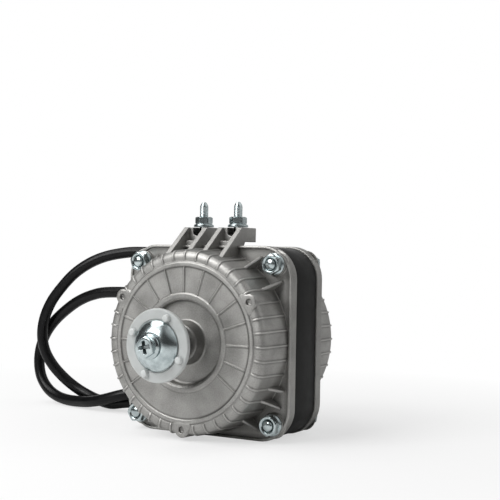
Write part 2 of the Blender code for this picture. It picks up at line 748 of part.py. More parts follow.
def arc(radius, start, end, steps):
    """Points on an arc round the shaft."""
    angles = [start + (end - start) * i / steps for i in range(steps + 1)]
    return [(radius * math.cos(a), radius * math.sin(a)) for a in angles]


def band_slots():
    """The slots in the pole shoes that take the shading bands."""
    reach = BORE_R + SHOE_T - 0.0006
    parts = []
    for pole in range(4):
        cutter = slab((BORE_R - 0.002, STACK_FRONT - SINK, -BAND_W / 2 - FIT),
                      (reach, STACK_REAR + SINK, BAND_W / 2 + FIT))
        parts.append(moved(cutter, about_shaft(90 * pole + BAND_ANGLE)))
    return parts


def stator_stack(parent):
    """The black-painted lamination stack with its four poles."""
    start = STACK_FRONT + FIT
    end = STACK_REAR - FIT
    block = prism(square(STACK_INSET), start, end)
    window = prism(pole_window(), start - SINK, end + SINK)
    cutters = [window, gathered(bolt_holes(start - SINK, end + SINK)), gathered(band_slots())]
    return piece("stator_stack", combined(block, cut=cutters), BLACK_STACK, parent)


def radial_frame(outer, inner, start, end):
    """A frame run outwards along X: its outlines are (y, z) sizes, centred on the stack."""
    bm = frame_prism(outer, inner, start, end)
    middle = (STACK_FRONT + STACK_REAR) / 2
    return moved(bm, Matrix.Translation((0, middle, 0)) @ Matrix.Rotation(math.radians(-90), 4, "Z"))


def coils(parent):
    """A nylon bobbin and its copper winding on each of the four poles."""
    start = BORE_R + SHOE_T + 2 * FIT
    hole_w = STACK_GAP + 2 * FIT
    hole_h = POLE_W + 2 * FIT
    half = hole_h / 2 + BOBBIN_WALL + COIL_T
    end = math.sqrt((YOKE_R - 2 * FIT) ** 2 - half ** 2)
    corner = 0.0004
    hole = rounded_rectangle(hole_w, hole_h, corner, 1)
    tube = rounded_rectangle(hole_w + 2 * BOBBIN_WALL, hole_h + 2 * BOBBIN_WALL, corner, 1)
    grow = 2 * (BOBBIN_WALL + COIL_T)
    cheek = rounded_rectangle(hole_w + grow, hole_h + grow, COIL_T / 2, 1)
    bobbin = radial_frame(tube, hole, start + BOBBIN_WALL / 2, end - BOBBIN_WALL / 2)
    cheeks = [radial_frame(cheek, hole, at, at + BOBBIN_WALL) for at in (start, end - BOBBIN_WALL)]
    bobbin = combined(bobbin, cheeks)
    shrink = 2 * FIT
    core = rounded_rectangle(hole_w + 2 * BOBBIN_WALL + shrink, hole_h + 2 * BOBBIN_WALL + shrink, corner, 1)
    skin = rounded_rectangle(hole_w + grow - shrink, hole_h + grow - shrink, COIL_T / 2 - FIT, 1)
    wire = radial_frame(skin, core, start + BOBBIN_WALL + FIT, end - BOBBIN_WALL - FIT)
    first_bobbin = piece("bobbin_1", bobbin, NYLON, parent)
    first_winding = piece("winding_1", wire, COPPER, parent)
    for pole in range(1, 4):
        copied(f"bobbin_{pole + 1}", first_bobbin, about_shaft(90 * pole))
        copied(f"winding_{pole + 1}", first_winding, about_shaft(90 * pole))


def shading_bands(parent):
    """The closed copper band round one tip of each pole shoe."""
    start = BORE_R + 0.0008
    end = start + 0.0016
    tip = BORE_R * math.sin(math.radians(SHOE_HALF_ANGLE - BAND_ANGLE)) + 0.0022
    hole_w = STACK_GAP + FIT
    outer = rounded_rectangle(hole_w + 2 * BAND_W, tip + 2 * BAND_W, 0.0003, 1)
    inner = rounded_rectangle(hole_w, tip, 0.0002, 1)
    band = radial_frame(outer, inner, start, end)
    moved(band, Matrix.Translation((0, 0, tip / 2 + BAND_W / 2)))
    first = piece("shading_band_1", moved(band, about_shaft(BAND_ANGLE)), COPPER, parent)
    for pole in range(1, 4):
        copied(f"shading_band_{pole + 1}", first, about_shaft(90 * pole))


def bar_places():
    """The rotor bars as (x, z) at the stack's front."""
    angles = [math.tau * i / BAR_COUNT for i in range(BAR_COUNT)]
    return [(BAR_CIRCLE_R * math.cos(a), BAR_CIRCLE_R * math.sin(a)) for a in angles]


def bars(radius, start, end, sides=5):
    """Skewed bars or their holes, from one face of the rotor to the other."""
    skew = math.radians(BAR_SKEW) * (end - start) / STACK_GAP
    parts = []
    for x, z in bar_places():
        outline = [(x + radius * math.cos(math.tau * i / sides), z + radius * math.sin(math.tau * i / sides))
                   for i in range(sides)]
        bar = prism(outline, start, end, skew)
        lead_in = math.radians(BAR_SKEW) * (start - STACK_FRONT) / STACK_GAP
        parts.append(moved(bar, Matrix.Rotation(lead_in, 4, "Y")))
    return parts


def rotor(parent):
    """The skewed laminated core and the cage cast into it."""
    outer = BORE_R - AIR_GAP
    ends = (STACK_FRONT, STACK_REAR)
    tube = [(SHAFT_R + FIT, ends[0]), (outer, ends[0]), (outer, ends[1]), (SHAFT_R + FIT, ends[1])]
    holes = bars(BAR_R + FIT, ends[0] - SINK, ends[1] + SINK)
    core = combined(turned(tube, ROUND_SEGMENTS), cut=[gathered(holes)])
    piece("rotor_core", core, STEEL, parent)
    ring_out = BAR_CIRCLE_R + BAR_R + 0.0004
    ring_in = ring_out - END_RING_W
    rings = []
    for near, far in ((ends[0] - FIT - END_RING_T, ends[0] - FIT), (ends[1] + FIT, ends[1] + FIT + END_RING_T)):
        rings.append(turned([(ring_in, near), (ring_out, near), (ring_out, far), (ring_in, far)], ROUND_SEGMENTS))
    links = bars(BAR_R, ends[0] - FIT - SINK, ends[1] + FIT + SINK)
    cage = combined(gathered(rings), [gathered(links)])
    piece("rotor_cage", cage, CAST_ALUMINIUM, parent)


def bearing_places():
    """For each end: the name, the pocket's closed end as y, and the way from it towards the rotor."""
    _, front, _ = housing_depths(FRONT_DEPTH)
    _, rear, _ = housing_depths(REAR_DEPTH)
    return (("front", -front, 1), ("rear", REAR_FACE + rear, -1))


def bearings(fixed):
    """Felt, self-aligning bush and spring clip in each pocket."""
    bore = SHAFT_R + RUNNING_FIT
    for name, pocket, way in bearing_places():
        felt_start = pocket + way * FIT
        felt_end = felt_start + way * FELT_T
        ring = [(bore + FIT, felt_start), (BEARING_R, felt_start), (BEARING_R, felt_end), (bore + FIT, felt_end)]
        piece(f"{name}_oil_felt", turned(ring, SMALL_SEGMENTS), FELT, fixed)
        bush_start = felt_end + way * FIT
        half = BEARING_LENGTH / 2
        middle = bush_start + way * half
        flat = 0.60
        bush = [(bore, middle - way * half), (BEARING_R * flat, middle - way * half)]
        bush += [(BEARING_R * 0.86, middle - way * half * 0.62), (BEARING_R, middle - way * half * 0.2)]
        bush += [(BEARING_R, middle + way * half * 0.2), (BEARING_R * 0.86, middle + way * half * 0.62)]
        bush += [(BEARING_R * flat, middle + way * half), (bore, middle + way * half)]
        piece(f"{name}_bearing", turned(bush, SMALL_SEGMENTS), BRONZE, fixed)
        clip_start = middle + way * (half + FIT)
        clip_end = clip_start + way * CLIP_T
        inner = BEARING_R * flat
        clip = [(inner, clip_start), (BEARING_R, clip_start), (BEARING_R, clip_end), (inner, clip_end)]
        piece(f"{name}_bearing_clip", turned(clip, SMALL_SEGMENTS), STEEL, fixed)


def hub_face():
    """Where the fan lies against the hub, as y."""
    tip = -(housing_depths(FRONT_DEPTH)[0] + NOSE_LENGTH)
    return tip - HUB_STANDOFF - HUB_LENGTH


def shaft(parent):
    """The shaft, its two thrust collars and the tapped hole in its front end."""
    front = hub_face() + HUB_FRONT_WALL
    rear = bearing_places()[1][1] - FIT - FELT_T / 2
    collars = []
    for edge, way in ((STACK_FRONT, -1), (STACK_REAR, 1)):
        near = edge + way * FIT
        collars.append((near, near + way * COLLAR_T))
    profile = [(0, front), (SHAFT_R - 0.0003, front), (SHAFT_R, front + 0.0004)]
    profile += [(SHAFT_R, collars[0][1]), (COLLAR_R, collars[0][1]), (COLLAR_R, collars[0][0])]
    profile += [(SHAFT_R, collars[0][0]), (SHAFT_R, rear - 0.0004), (SHAFT_R - 0.0003, rear), (0, rear)]
    hole = shaft_cylinder(HUB_SCREW_R + FIT, front - SINK, hub_face() + HUB_SCREW_LENGTH, SCREW_SEGMENTS)
    bar = combined(turned(profile, SMALL_SEGMENTS), cut=[hole])
    piece("shaft", bar, STEEL, parent)
    thrust_washers(parent, collars[0][1])


def thrust_washers(parent, collar_end):
    """Fibre washers that take the rotor's end thrust against the bearings."""
    bore = SHAFT_R + FIT
    starts = {"front": collar_end - FIT - WASHER_T, "rear": STACK_REAR + FIT + END_RING_T / 2}
    for name, start in starts.items():
        end = start + WASHER_T
        ring = [(bore, start), (WASHER_R, start), (WASHER_R, end), (bore, end)]
        piece(f"{name}_thrust_washer", turned(ring, SMALL_SEGMENTS), NYLON, parent)


def hub(parent):
    """The nylon fan hub: a barrel on the shaft, a seat disc and four locating pegs."""
    face = hub_face()
    back = face + HUB_LENGTH
    disc_back = face + HUB_DISC_T
    seat = face + HUB_SEAT_DEPTH
    bore = SHAFT_R + FIT
    front_wall = face + HUB_FRONT_WALL - FIT
    profile = [(HUB_SCREW_R + FIT, seat), (DOME_R + FIT, seat), (DOME_R + FIT, face)]
    profile += [(HUB_DISC_R - 0.0004, face), (HUB_DISC_R, face + 0.0004), (HUB_DISC_R, disc_back - 0.0004)]
    profile += [(HUB_DISC_R - 0.0004, disc_back), (HUB_BARREL_R + 0.0010, disc_back)]
    profile += [(HUB_BARREL_R, disc_back + 0.0010), (HUB_BARREL_R - 0.0002, back), (bore, back)]
    profile += [(bore, front_wall), (HUB_SCREW_R + FIT, front_wall)]
    body = turned(profile, ROUND_SEGMENTS)
    pegs = []
    for i in range(PEG_COUNT):
        angle = math.radians(PEG_ANGLE + 360 / PEG_COUNT * i)
        peg = [(0, face + SINK), (PEG_R, face + SINK), (PEG_R, face - 0.5 * PEG_H)]
        peg += [(0.6 * PEG_R, face - PEG_H), (0, face - PEG_H)]
        at = (PEG_CIRCLE_R * math.cos(angle), 0, PEG_CIRCLE_R * math.sin(angle))
        pegs.append(moved(turned(peg, SCREW_SEGMENTS), Matrix.Translation(at)))
    piece("hub", combined(body, [gathered(pegs)]), NYLON, parent)


def hub_washer(parent):
    """The domed zinc-plated washer that clamps the fan against the hub's disc."""
    seat = hub_face() + HUB_SEAT_DEPTH - FIT
    crown = seat - DOME_H
    flat_r = HUB_SCREW_FLANGE_R + 0.0002
    outer = [(DOME_R, seat), (DOME_R, seat - 0.8 * DOME_T)]
    for share in (0.25, 0.5, 0.75):
        radius = DOME_R + (flat_r - DOME_R) * share
        outer.append((radius, seat - 0.8 * DOME_T + (crown - seat + 0.8 * DOME_T) * math.sin(math.pi / 2 * share)))
    outer += [(flat_r, crown), (HUB_SCREW_R + FIT, crown)]
    inner = [(HUB_SCREW_R + FIT, crown + DOME_T), (flat_r, crown + DOME_T)]
    inner += [(0.5 * (flat_r + DOME_R), seat - 0.45 * DOME_H), (DOME_R - DOME_T, seat)]
    piece("hub_washer", turned(outer + inner, ROUND_SEGMENTS), ZINC, parent)


def flanged_head(seat, way, hex_size, flange_r, flange_t, height, turn=0.0):
    """A hexagon with a washer flange, from a seat along +Y or -Y."""
    top = seat + way * height
    rim = seat + way * flange_t
    cone = [(0, seat), (flange_r, seat), (flange_r, rim), (hex_size / 2, rim + way * 0.6 * flange_t)]
    cone += [(0, rim + way * 0.6 * flange_t)]
    low = min(seat + way * flange_t / 2, top)
    high = max(seat + way * flange_t / 2, top)
    block = prism(hexagon(hex_size, turn), low, high)
    corner = hex_size / math.sqrt(3)
    chamfer = [(0, seat - way * flange_t), (corner, seat - way * flange_t), (corner, top - way * 0.12 * hex_size)]
    chamfer += [(0.47 * hex_size, top), (0, top)]
    block = combined(block, kept=[turned(chamfer, SMALL_SEGMENTS, math.radians(7.5))])
    return combined(turned(cone, SMALL_SEGMENTS), [block])


def hub_screw(parent):
    """The flanged hexagon screw with a cross recess that holds the fan on."""
    seat = hub_face() + HUB_SEAT_DEPTH - DOME_H - 2 * FIT
    top = seat - HUB_SCREW_HEAD_H
    head = flanged_head(seat, -1, HUB_SCREW_HEX, HUB_SCREW_FLANGE_R, BOLT_FLANGE_T, HUB_SCREW_HEAD_H)
    shank_end = hub_face() + HUB_SCREW_LENGTH - FIT
    shank = shaft_cylinder(HUB_SCREW_R, seat - SINK, shank_end, SCREW_SEGMENTS)
    half = CROSS_LENGTH / 2
    thin = CROSS_W / 2
    arms = [slab((-half, top - SINK, -thin), (half, top + CROSS_DEPTH, thin)),
            slab((-thin, top - SINK, -half), (thin, top + CROSS_DEPTH, half))]
    piece("hub_screw", combined(head, [shank], arms), ZINC, parent)


def corner_fasteners(parent):
    """Four through bolts with their heads on the rear shield and flange nuts on the front one."""
    front_seat = -PAD_H - FIT
    rear_seat = REAR_FACE + PAD_H + FIT
    head = flanged_head(rear_seat, 1, BOLT_HEX, BOLT_FLANGE_R, BOLT_FLANGE_T, BOLT_HEAD_H)
    tip = front_seat - BOLT_HEAD_H - BOLT_END
    point = [(0, tip), (BOLT_R - 0.0003, tip), (BOLT_R, tip + 0.0004), (BOLT_R, rear_seat + SINK), (0, rear_seat + SINK)]
    bolt = combined(head, [turned(point, SCREW_SEGMENTS)])
    nut = flanged_head(front_seat, -1, BOLT_HEX, BOLT_FLANGE_R, BOLT_FLANGE_T, BOLT_HEAD_H)
    bore = shaft_cylinder(BOLT_R + FIT, tip - SINK, front_seat + SINK, SCREW_SEGMENTS)
    nut = combined(nut, cut=[bore])
    places = corner_places()
    first_at = Matrix.Translation((places[0][0], 0, places[0][1]))
    first_bolt = piece("through_bolt_1", bolt, ZINC, parent)
    first_nut = piece("flange_nut_1", nut, ZINC, parent)
    first_bolt.matrix_local = first_at
    first_nut.matrix_local = first_at
    for i in range(1, 4):
        at = Matrix.Translation((places[i][0], 0, places[i][1])) @ about_shaft(17 * i)
        copied(f"through_bolt_{i + 1}", first_bolt, at)
        copied(f"flange_nut_{i + 1}", first_nut, at)


def slot_fasteners(parent):
    """The two bracket bolts, heads held in the T-slots, each with a flange nut on the platform."""
    upright = Matrix.Rotation(math.radians(90), 4, "X")
    head_top = PLATFORM_TOP - DECK_T - FIT
    head = prism(hexagon(STUD_HEX, math.radians(30)), head_top - STUD_HEAD_H, head_top)
    tip = STUD_TIP
    rod = [(0, head_top - SINK), (STUD_R, head_top - SINK), (STUD_R, tip - STUD_POINT)]
    rod += [(0.72 * STUD_R, tip - 0.25 * STUD_POINT), (0.4 * STUD_R, tip), (0, tip)]
    bolt = combined(head, [turned(rod, SCREW_SEGMENTS)])
    seat = PLATFORM_TOP + FIT
    nut = flanged_head(seat, 1, STUD_HEX, STUD_NUT_FLANGE_R, STUD_NUT_FLANGE_T, STUD_NUT_H)
    bore = shaft_cylinder(STUD_R + FIT, seat - SINK, seat + STUD_NUT_H + SINK, SCREW_SEGMENTS)
    nut = combined(nut, cut=[bore])
    first_bolt = piece("slot_bolt_1", moved(bolt, upright), ZINC, parent)
    first_nut = piece("slot_nut_1", moved(nut, upright), ZINC, parent)
    for made in (first_bolt, first_nut):
        made.matrix_local = Matrix.Translation((-SLOT_SPREAD, STUD_Y, 0))
    at = Matrix.Translation((SLOT_SPREAD, STUD_Y, 0))
    copied("slot_bolt_2", first_bolt, at)
    copied("slot_nut_2", first_nut, at)


def gland_end():
    """How far the gland's tail reaches from the shaft along -X."""
    return GLAND_BOSS_REACH + FIT + GLAND_FLANGE_T + GLAND_TAIL_LENGTH


def cable_gland(parent):
    """The rubber gland: a neck in the boss, a flange against it and a tapered tail round the lead."""
    seat = GLAND_BOSS_REACH + FIT
    flange = seat + GLAND_FLANGE_T
    profile = [(0, seat - GLAND_NECK_LENGTH), (GLAND_NECK_R, seat - GLAND_NECK_LENGTH), (GLAND_NECK_R, seat)]
    profile += [(GLAND_FLANGE_R, seat), (GLAND_FLANGE_R, flange - 0.0004), (GLAND_FLANGE_R - 0.0006, flange)]
    profile += [(GLAND_NECK_R + 0.0006, flange), (GLAND_TAIL_R, gland_end()), (0, gland_end())]
    piece("cable_gland", along_minus_x(turned(profile, SMALL_SEGMENTS), GLAND_Y), BLACK_RUBBER, parent)


def smooth_way(points, steps):
    """Evenly many points along a Catmull-Rom curve through the given ones."""
    ends = [points[0] * 2 - points[1]] + points + [points[-1] * 2 - points[-2]]
    way = []
    spans = len(points) - 1
    for step in range(steps + 1):
        at = spans * step / steps
        span = min(int(at), spans - 1)
        t = at - span
        a, b, c, d = ends[span:span + 4]
        bend = (a * 2 - b * 5 + c * 4 - d) * t * t + (b * 3 - a - c * 3 + d) * t ** 3
        way.append((b * 2 + (c - a) * t + bend) * 0.5)
    return way


def tube(name, way, radius, look, resolution=CORD_RESOLUTION):
    """A round cord as a bevelled poly curve with capped ends."""
    curve = bpy.data.curves.new(name, "CURVE")
    curve.dimensions = "3D"
    curve.bevel_depth = radius
    curve.bevel_resolution = resolution
    curve.use_fill_caps = True
    spline = curve.splines.new("POLY")
    spline.points.add(len(way) - 1)
    for point, place in zip(spline.points, way):
        point.co = (*place, 1.0)
    curve.materials.append(material(name, look))
    made = bpy.data.objects.new(name, curve)
    bpy.context.scene.collection.objects.link(made)
    return made


def supply_lead():
    """The sheathed lead and the three stripped cores at its far end."""
    start = Vector((-gland_end() - FIT, GLAND_Y, AXIS_Z + GLAND_RISE))
    rest = Vector((start.x, GLAND_Y, LEAD_R + FIT / 2))
    points = [start] + [rest + Vector(point) for point in FIRST_TURN + SECOND_TURN]
    way = smooth_way(points, LEAD_STEPS)
    tube("power_lead", way, LEAD_R, LEAD_SHEATH)
    tip = way[-1]
    ahead = way[-1] - way[-2]
    ahead = Vector((ahead.x, ahead.y, 0)).normalized()
    across = ahead.cross(Vector((0, 0, 1))).normalized()
    cores = (("brown_core", BROWN_CORE, -1), ("blue_core", BLUE_CORE, 0), ("earth_core", EARTH_CORE, 1))
    for name, look, side in cores:
        spread = CORE_SPREAD * side
        root = tip + ahead * FIT + across * (CORE_R + 0.5 * FIT) * 2 * side
        bend = [root, root + ahead * CORE_LENGTH * 0.3]
        drop = Vector((0, 0, CORE_R - tip.z + FIT))
        bend.append(tip + ahead * CORE_LENGTH * 0.65 + across * spread * 0.85 + drop * 0.94)
        bend.append(tip + ahead * CORE_LENGTH + across * spread + drop)
        line = smooth_way(bend, 6)
        tube(name, line, CORE_R, look)
        run = (line[-1] - line[-2]).normalized()
        pin = [line[-1] + run * FIT, line[-1] + run * (FIT + FERRULE_LENGTH)]
        tube(name.replace("core", "ferrule"), pin, FERRULE_R, ZINC)


def build():
    """Clears the scene and makes every piece."""
    for old in list(bpy.data.objects):
        bpy.data.objects.remove(old)
    fixed = axis_empty("motor_frame")
    turning = axis_empty("rotor_axis")
    front_shield(fixed)
    rear_shield(fixed)
    stator_stack(fixed)
    coils(fixed)
    shading_bands(fixed)
    bearings(fixed)
    corner_fasteners(fixed)
    slot_fasteners(fixed)
    cable_gland(fixed)
    rotor(turning)
    shaft(turning)
    hub(turning)
    hub_washer(turning)
    hub_screw(turning)
    supply_lead()


build()
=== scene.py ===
"""Shaded-pole fan motor with its supply lead: smooth castings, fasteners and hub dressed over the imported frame.

Lengths are in metres. The shaft lies along Y and the motor's front looks along -Y.
"""

import json
import logging
import math
from dataclasses import dataclass, field
from enum import Enum

import bmesh
import bpy
import numpy as np
from mathutils import Matrix, Vector


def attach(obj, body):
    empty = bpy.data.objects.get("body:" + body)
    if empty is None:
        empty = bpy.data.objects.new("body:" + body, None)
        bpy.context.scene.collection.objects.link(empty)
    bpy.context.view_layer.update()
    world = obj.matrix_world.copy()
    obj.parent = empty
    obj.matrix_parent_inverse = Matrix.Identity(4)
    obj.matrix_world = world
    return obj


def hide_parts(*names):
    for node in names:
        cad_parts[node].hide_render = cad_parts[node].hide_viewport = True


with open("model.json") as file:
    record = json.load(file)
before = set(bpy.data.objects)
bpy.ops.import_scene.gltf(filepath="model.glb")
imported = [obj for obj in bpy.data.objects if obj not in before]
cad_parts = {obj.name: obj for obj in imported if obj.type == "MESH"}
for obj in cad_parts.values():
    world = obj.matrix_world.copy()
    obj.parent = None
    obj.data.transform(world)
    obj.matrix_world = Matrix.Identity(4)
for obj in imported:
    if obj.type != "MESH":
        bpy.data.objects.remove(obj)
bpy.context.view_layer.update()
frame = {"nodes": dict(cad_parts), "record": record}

LOG = logging.getLogger("fan_motor")
Grid = np.ndarray
Piece = bpy.types.Object
Tree = bpy.types.NodeTree
Socket = bpy.types.NodeSocket
AXIS_Z = 0.0420
SHAFT = (0.0, 0.0, AXIS_Z)
SIDE = 0.0840
CORNER = 0.0145
FRONT_FACE = 0.0
REAR_FACE = 0.0282
FIT = 0.0003
HEAD_COLUMNS = 96
# Most of a noise's values lie in this range.
MIDDLE = {"From Min": 0.3, "From Max": 0.7}


class Facing(Enum):
    """Which way a shield looks along the shaft."""

    FRONT = -1
    REAR = 1


class Body(Enum):
    """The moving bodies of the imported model."""

    HOUSING = "housing"
    ROTOR = "rotor"


class Across(Enum):
    """The axis that an outline is carried along."""

    X = 0
    Y = 1


@dataclass
class Shell:
    """A closed or open skin: vertices, faces as index rows, and per vertex -1, painted shade, to 1, worn edge and
    painted highlight.
    """

    points: Grid
    faces: list[Grid]
    light_and_wear: Grid

    def moved(self, offset: Grid | tuple[float, float, float]) -> "Shell":
        """The same skin at another place."""
        return Shell(self.points + np.asarray(offset), self.faces, self.light_and_wear)

    def turned(self, axis: str, degrees: float) -> "Shell":
        """The same skin turned about an axis through the origin."""
        turn = np.array(Matrix.Rotation(math.radians(degrees), 3, axis))
        return Shell(self.points @ turn.T, self.faces, self.light_and_wear)


def joined(shells: list[Shell]) -> Shell:
    """Several skins as one, each face list moved on by the vertices before it.

    Args:
        shells: the skins, in any order.

    Returns:
        One skin that holds them all.
    """
    starts = np.cumsum([0] + [len(shell.points) for shell in shells[:-1]])
    faces = [group + start for shell, start in zip(shells, starts) for group in shell.faces]
    points = np.concatenate([shell.points for shell in shells])
    return Shell(points, faces, np.concatenate([shell.light_and_wear for shell in shells]))


def woven(points: Grid, wrap_rows: bool = False, wrap_columns: bool = True, light_and_wear: Grid | float = 0.0) -> Shell:
    """A skin over a grid of points: each cell is one quad between its four neighbours.

    Args:
        points: an array of rows x columns x 3.
        wrap_rows: the last row also meets the first.
        wrap_columns: the last column also meets the first.
        light_and_wear: -1, painted shade, to 1, worn edge and painted highlight; for all points, for each row or for
            each point.

    Returns:
        The skin, with the vertices in row order.
    """
    rows, columns = points.shape[:2]
    index = np.arange(rows * columns).reshape(rows, columns)
    if wrap_rows:
        index = np.concatenate([index, index[:1]], axis=0)
    if wrap_columns:
        index = np.concatenate([index, index[:, :1]], axis=1)
    quads = np.stack([index[:-1, :-1], index[:-1, 1:], index[1:, 1:], index[1:, :-1]], axis=-1).reshape(-1, 4)
    shade = np.broadcast_to(np.asarray(light_and_wear, float), (rows, columns))
    return Shell(points.reshape(-1, 3), [quads], shade.reshape(-1))


def swung(flat: Grid, angle: Grid | float) -> Grid:
    """Points of a plane swung about the origin: (x cos a - z sin a, x sin a + z cos a)."""
    cos, sin = np.cos(angle), np.sin(angle)
    return np.stack([flat[..., 0] * cos - flat[..., 1] * sin, flat[..., 0] * sin + flat[..., 1] * cos], axis=-1)


def rounded(corners: list[tuple[float, float, float]], steps: int = 5) -> Grid:
    """A profile whose corners are rounded by arcs.

    Each arc touches both sides at radius / tan(half the corner's angle) from the corner, and its points turn
    evenly about the centre on the bisector.

    Args:
        corners: (across, along, radius) for each corner; a radius of 0 keeps it sharp.
        steps: how many parts each arc has.

    Returns:
        The profile as an array of points x 2.
    """
    places = np.array([corner[:2] for corner in corners], float)
    profile = [places[:1]]
    for i in range(1, len(places) - 1):
        back = places[i - 1] - places[i]
        ahead = places[i + 1] - places[i]
        room = 0.49 * min(np.linalg.norm(back), np.linalg.norm(ahead))
        back = back / np.linalg.norm(back)
        ahead = ahead / np.linalg.norm(ahead)
        half = math.acos(float(np.clip(back @ ahead, -1.0, 1.0))) / 2
        radius = min(corners[i][2], room * math.tan(half))
        if radius < 1e-6 or half > 1.55:
            profile.append(places[i:i + 1])
            continue
        centre = places[i] + (back + ahead) / np.linalg.norm(back + ahead) * radius / math.sin(half)
        first = places[i] + back * radius / math.tan(half) - centre
        last = places[i] + ahead * radius / math.tan(half) - centre
        sweep = math.atan2(first[0] * last[1] - first[1] * last[0], float(first @ last))
        profile.append(centre + swung(first, np.linspace(0.0, sweep, steps + 1)))
    profile.append(places[-1:])
    return np.concatenate(profile)


def about_y(radius: Grid, along: Grid, angle: Grid) -> Grid:
    """Points round the Y axis: x = r cos a, y = along, z = r sin a."""
    return np.stack(np.broadcast_arrays(radius * np.cos(angle), along, radius * np.sin(angle)), axis=-1)


def on_circle(radius: float, degrees: float) -> Grid:
    """The point at a radius and an angle round the Y axis, from +X."""
    angle = math.radians(degrees)
    return radius * np.array([math.cos(angle), 0.0, math.sin(angle)])


def turned_skin(profile: Grid, columns: int, light_and_wear: float | Grid = 0.0, wrap: bool = False) -> Shell:
    """A (radius, along) profile turned about the Y axis.

    Args:
        profile: points x 2.
        columns: how many parts the turn has.
        light_and_wear: one value for the whole skin, or one for each point of the profile.
        wrap: the profile is a closed loop.

    Returns:
        The skin round the Y axis.
    """
    angle = np.linspace(0.0, math.tau, columns, endpoint=False)
    return woven(about_y(profile[:, :1], profile[:, 1:], angle), wrap_rows=wrap, light_and_wear=np.reshape(light_and_wear, (-1, 1)))


def carried(outline: Grid, start: float, end: float, across: Across) -> Shell:
    """A closed outline, heights above the shaft, carried from one place on an axis to another and capped.

    Args:
        outline: points x 2, in order: (y, z) to carry along X, (x, z) to carry along Y.
        start: the first end's place on the axis.
        end: the second end's.
        across: the axis.

    Returns:
        The skin of the plate.
    """
    count = len(outline)
    near = np.empty((count, 3))
    near[:, across.value] = start
    near[:, 1 - across.value] = outline[:, 0]
    near[:, 2] = AXIS_Z + outline[:, 1]
    far = near.copy()
    far[:, across.value] = end
    sides = woven(np.stack([near, far]))
    caps = [np.arange(count)[None, ::-1], (np.arange(count) + count)[None, :]]
    return Shell(sides.points, sides.faces + caps, np.full(2 * count, 0.1))


def square_rows(insets: Grid, corner_steps: int = 14, side_steps: int = 24) -> Grid:
    """The motor's square outline drawn in by each inset: an arc and a straight side, swung to all four quarters.

    Args:
        insets: how far each row is drawn in.
        corner_steps: how many parts an arc has.
        side_steps: how many parts a side has.

    Returns:
        Rows x points x 2, as (x, z) from the shaft.
    """
    half = SIDE / 2 - CORNER
    radius = (CORNER - insets)[:, None]
    turn = np.linspace(0.0, math.pi / 2, corner_steps + 1)
    run = np.linspace(0.0, 1.0, side_steps + 1)[1:-1]
    x = np.concatenate([half + radius * np.cos(turn), half - 2 * half * run + 0.0 * radius], axis=1)
    z = np.concatenate([half + radius * np.sin(turn), half + radius + 0.0 * run], axis=1)
    quarter = np.stack([x, z], axis=-1)
    return np.concatenate([swung(quarter, i * math.pi / 2) for i in range(4)], axis=1)


def outward(profile: Grid) -> Grid:
    """The unit normal at each point of a profile: its direction (dx, dy) turned to (dy, -dx).

    Args:
        profile: points x 2.

    Returns:
        One normal for each point.
    """
    along = np.gradient(profile, axis=0)
    normal = np.stack([along[:, 1], -along[:, 0]], axis=-1)
    return normal / np.maximum(np.linalg.norm(normal, axis=1, keepdims=True), 1e-12)


def smoothstep(value: Grid, low: float, high: float) -> Grid:
    """0 below low, 1 above high, and 3t^2 - 2t^3 between them."""
    t = np.clip((value - low) / (high - low), 0.0, 1.0)
    return t * t * (3.0 - 2.0 * t)


def bell(value: Grid, middle: float, width: float) -> Grid:
    """1 at the middle, falling as exp(-(distance / width)^2)."""
    return np.exp(-((value - middle) / width) ** 2)


def linear(hex_colour: str) -> tuple[float, float, float, float]:
    """An sRGB hex colour as linear RGBA."""
    channels = [int(hex_colour[i:i + 2], 16) / 255 for i in (1, 3, 5)]
    return tuple(c / 12.92 if c <= 0.04045 else ((c + 0.055) / 1.055) ** 2.4 for c in channels) + (1.0,)


def built(name: str, shell: Shell, sharp: float = 40.0) -> Piece:
    """An object from a skin: doubles merged, poles closed, normals out, smooth but for sharp edges.

    Args:
        name: the piece's name.
        shell: its skin, in place.
        sharp: the angle in degrees above which an edge stays sharp.

    Returns:
        The object, at the origin, with its place in the mesh.
    """
    mesh = bpy.data.meshes.new(name)
    mesh.from_pydata(shell.points.tolist(), [], [face for group in shell.faces for face in group.tolist()])
    # Positive values become worn edges with painted highlight, negative ones painted shade.
    for attribute, amount in (("rubbed_and_highlight", shell.light_and_wear), ("painted_shade", -shell.light_and_wear)):
        layer = mesh.attributes.new(attribute, "FLOAT", "POINT")
        layer.data.foreach_set("value", np.clip(amount, 0.0, 1.0).astype(np.float32))
    work = bmesh.new()
    work.from_mesh(mesh)
    bmesh.ops.remove_doubles(work, verts=work.verts, dist=2e-6)
    bmesh.ops.dissolve_degenerate(work, dist=1e-7, edges=work.edges)
    bmesh.ops.recalc_face_normals(work, faces=work.faces)
    work.to_mesh(mesh)
    work.free()
    mesh.shade_smooth()
    mesh.set_sharp_from_angle(angle=math.radians(sharp))
    return linked(name, mesh)


def linked(name: str, data: bpy.types.ID) -> Piece:
    """Puts a new object in the scene.

    Args:
        name: the object's name.
        data: its mesh, curve, lamp or camera.

    Returns:
        The object.
    """
    made = bpy.data.objects.new(name, data)
    bpy.context.scene.collection.objects.link(made)
    return made


def soften(piece: Piece, width: float) -> None:
    """Rounds a piece's edges and keeps its flats flat.

    Args:
        piece: the object.
        width: the rounding's width.
    """
    bevel = piece.modifiers.new("rounded_edges", "BEVEL")
    bevel.width = width
    bevel.segments = 3
    bevel.limit_method = "ANGLE"
    bevel.angle_limit = math.radians(30)
    piece.modifiers.new("flat_faces", "WEIGHTED_NORMAL")


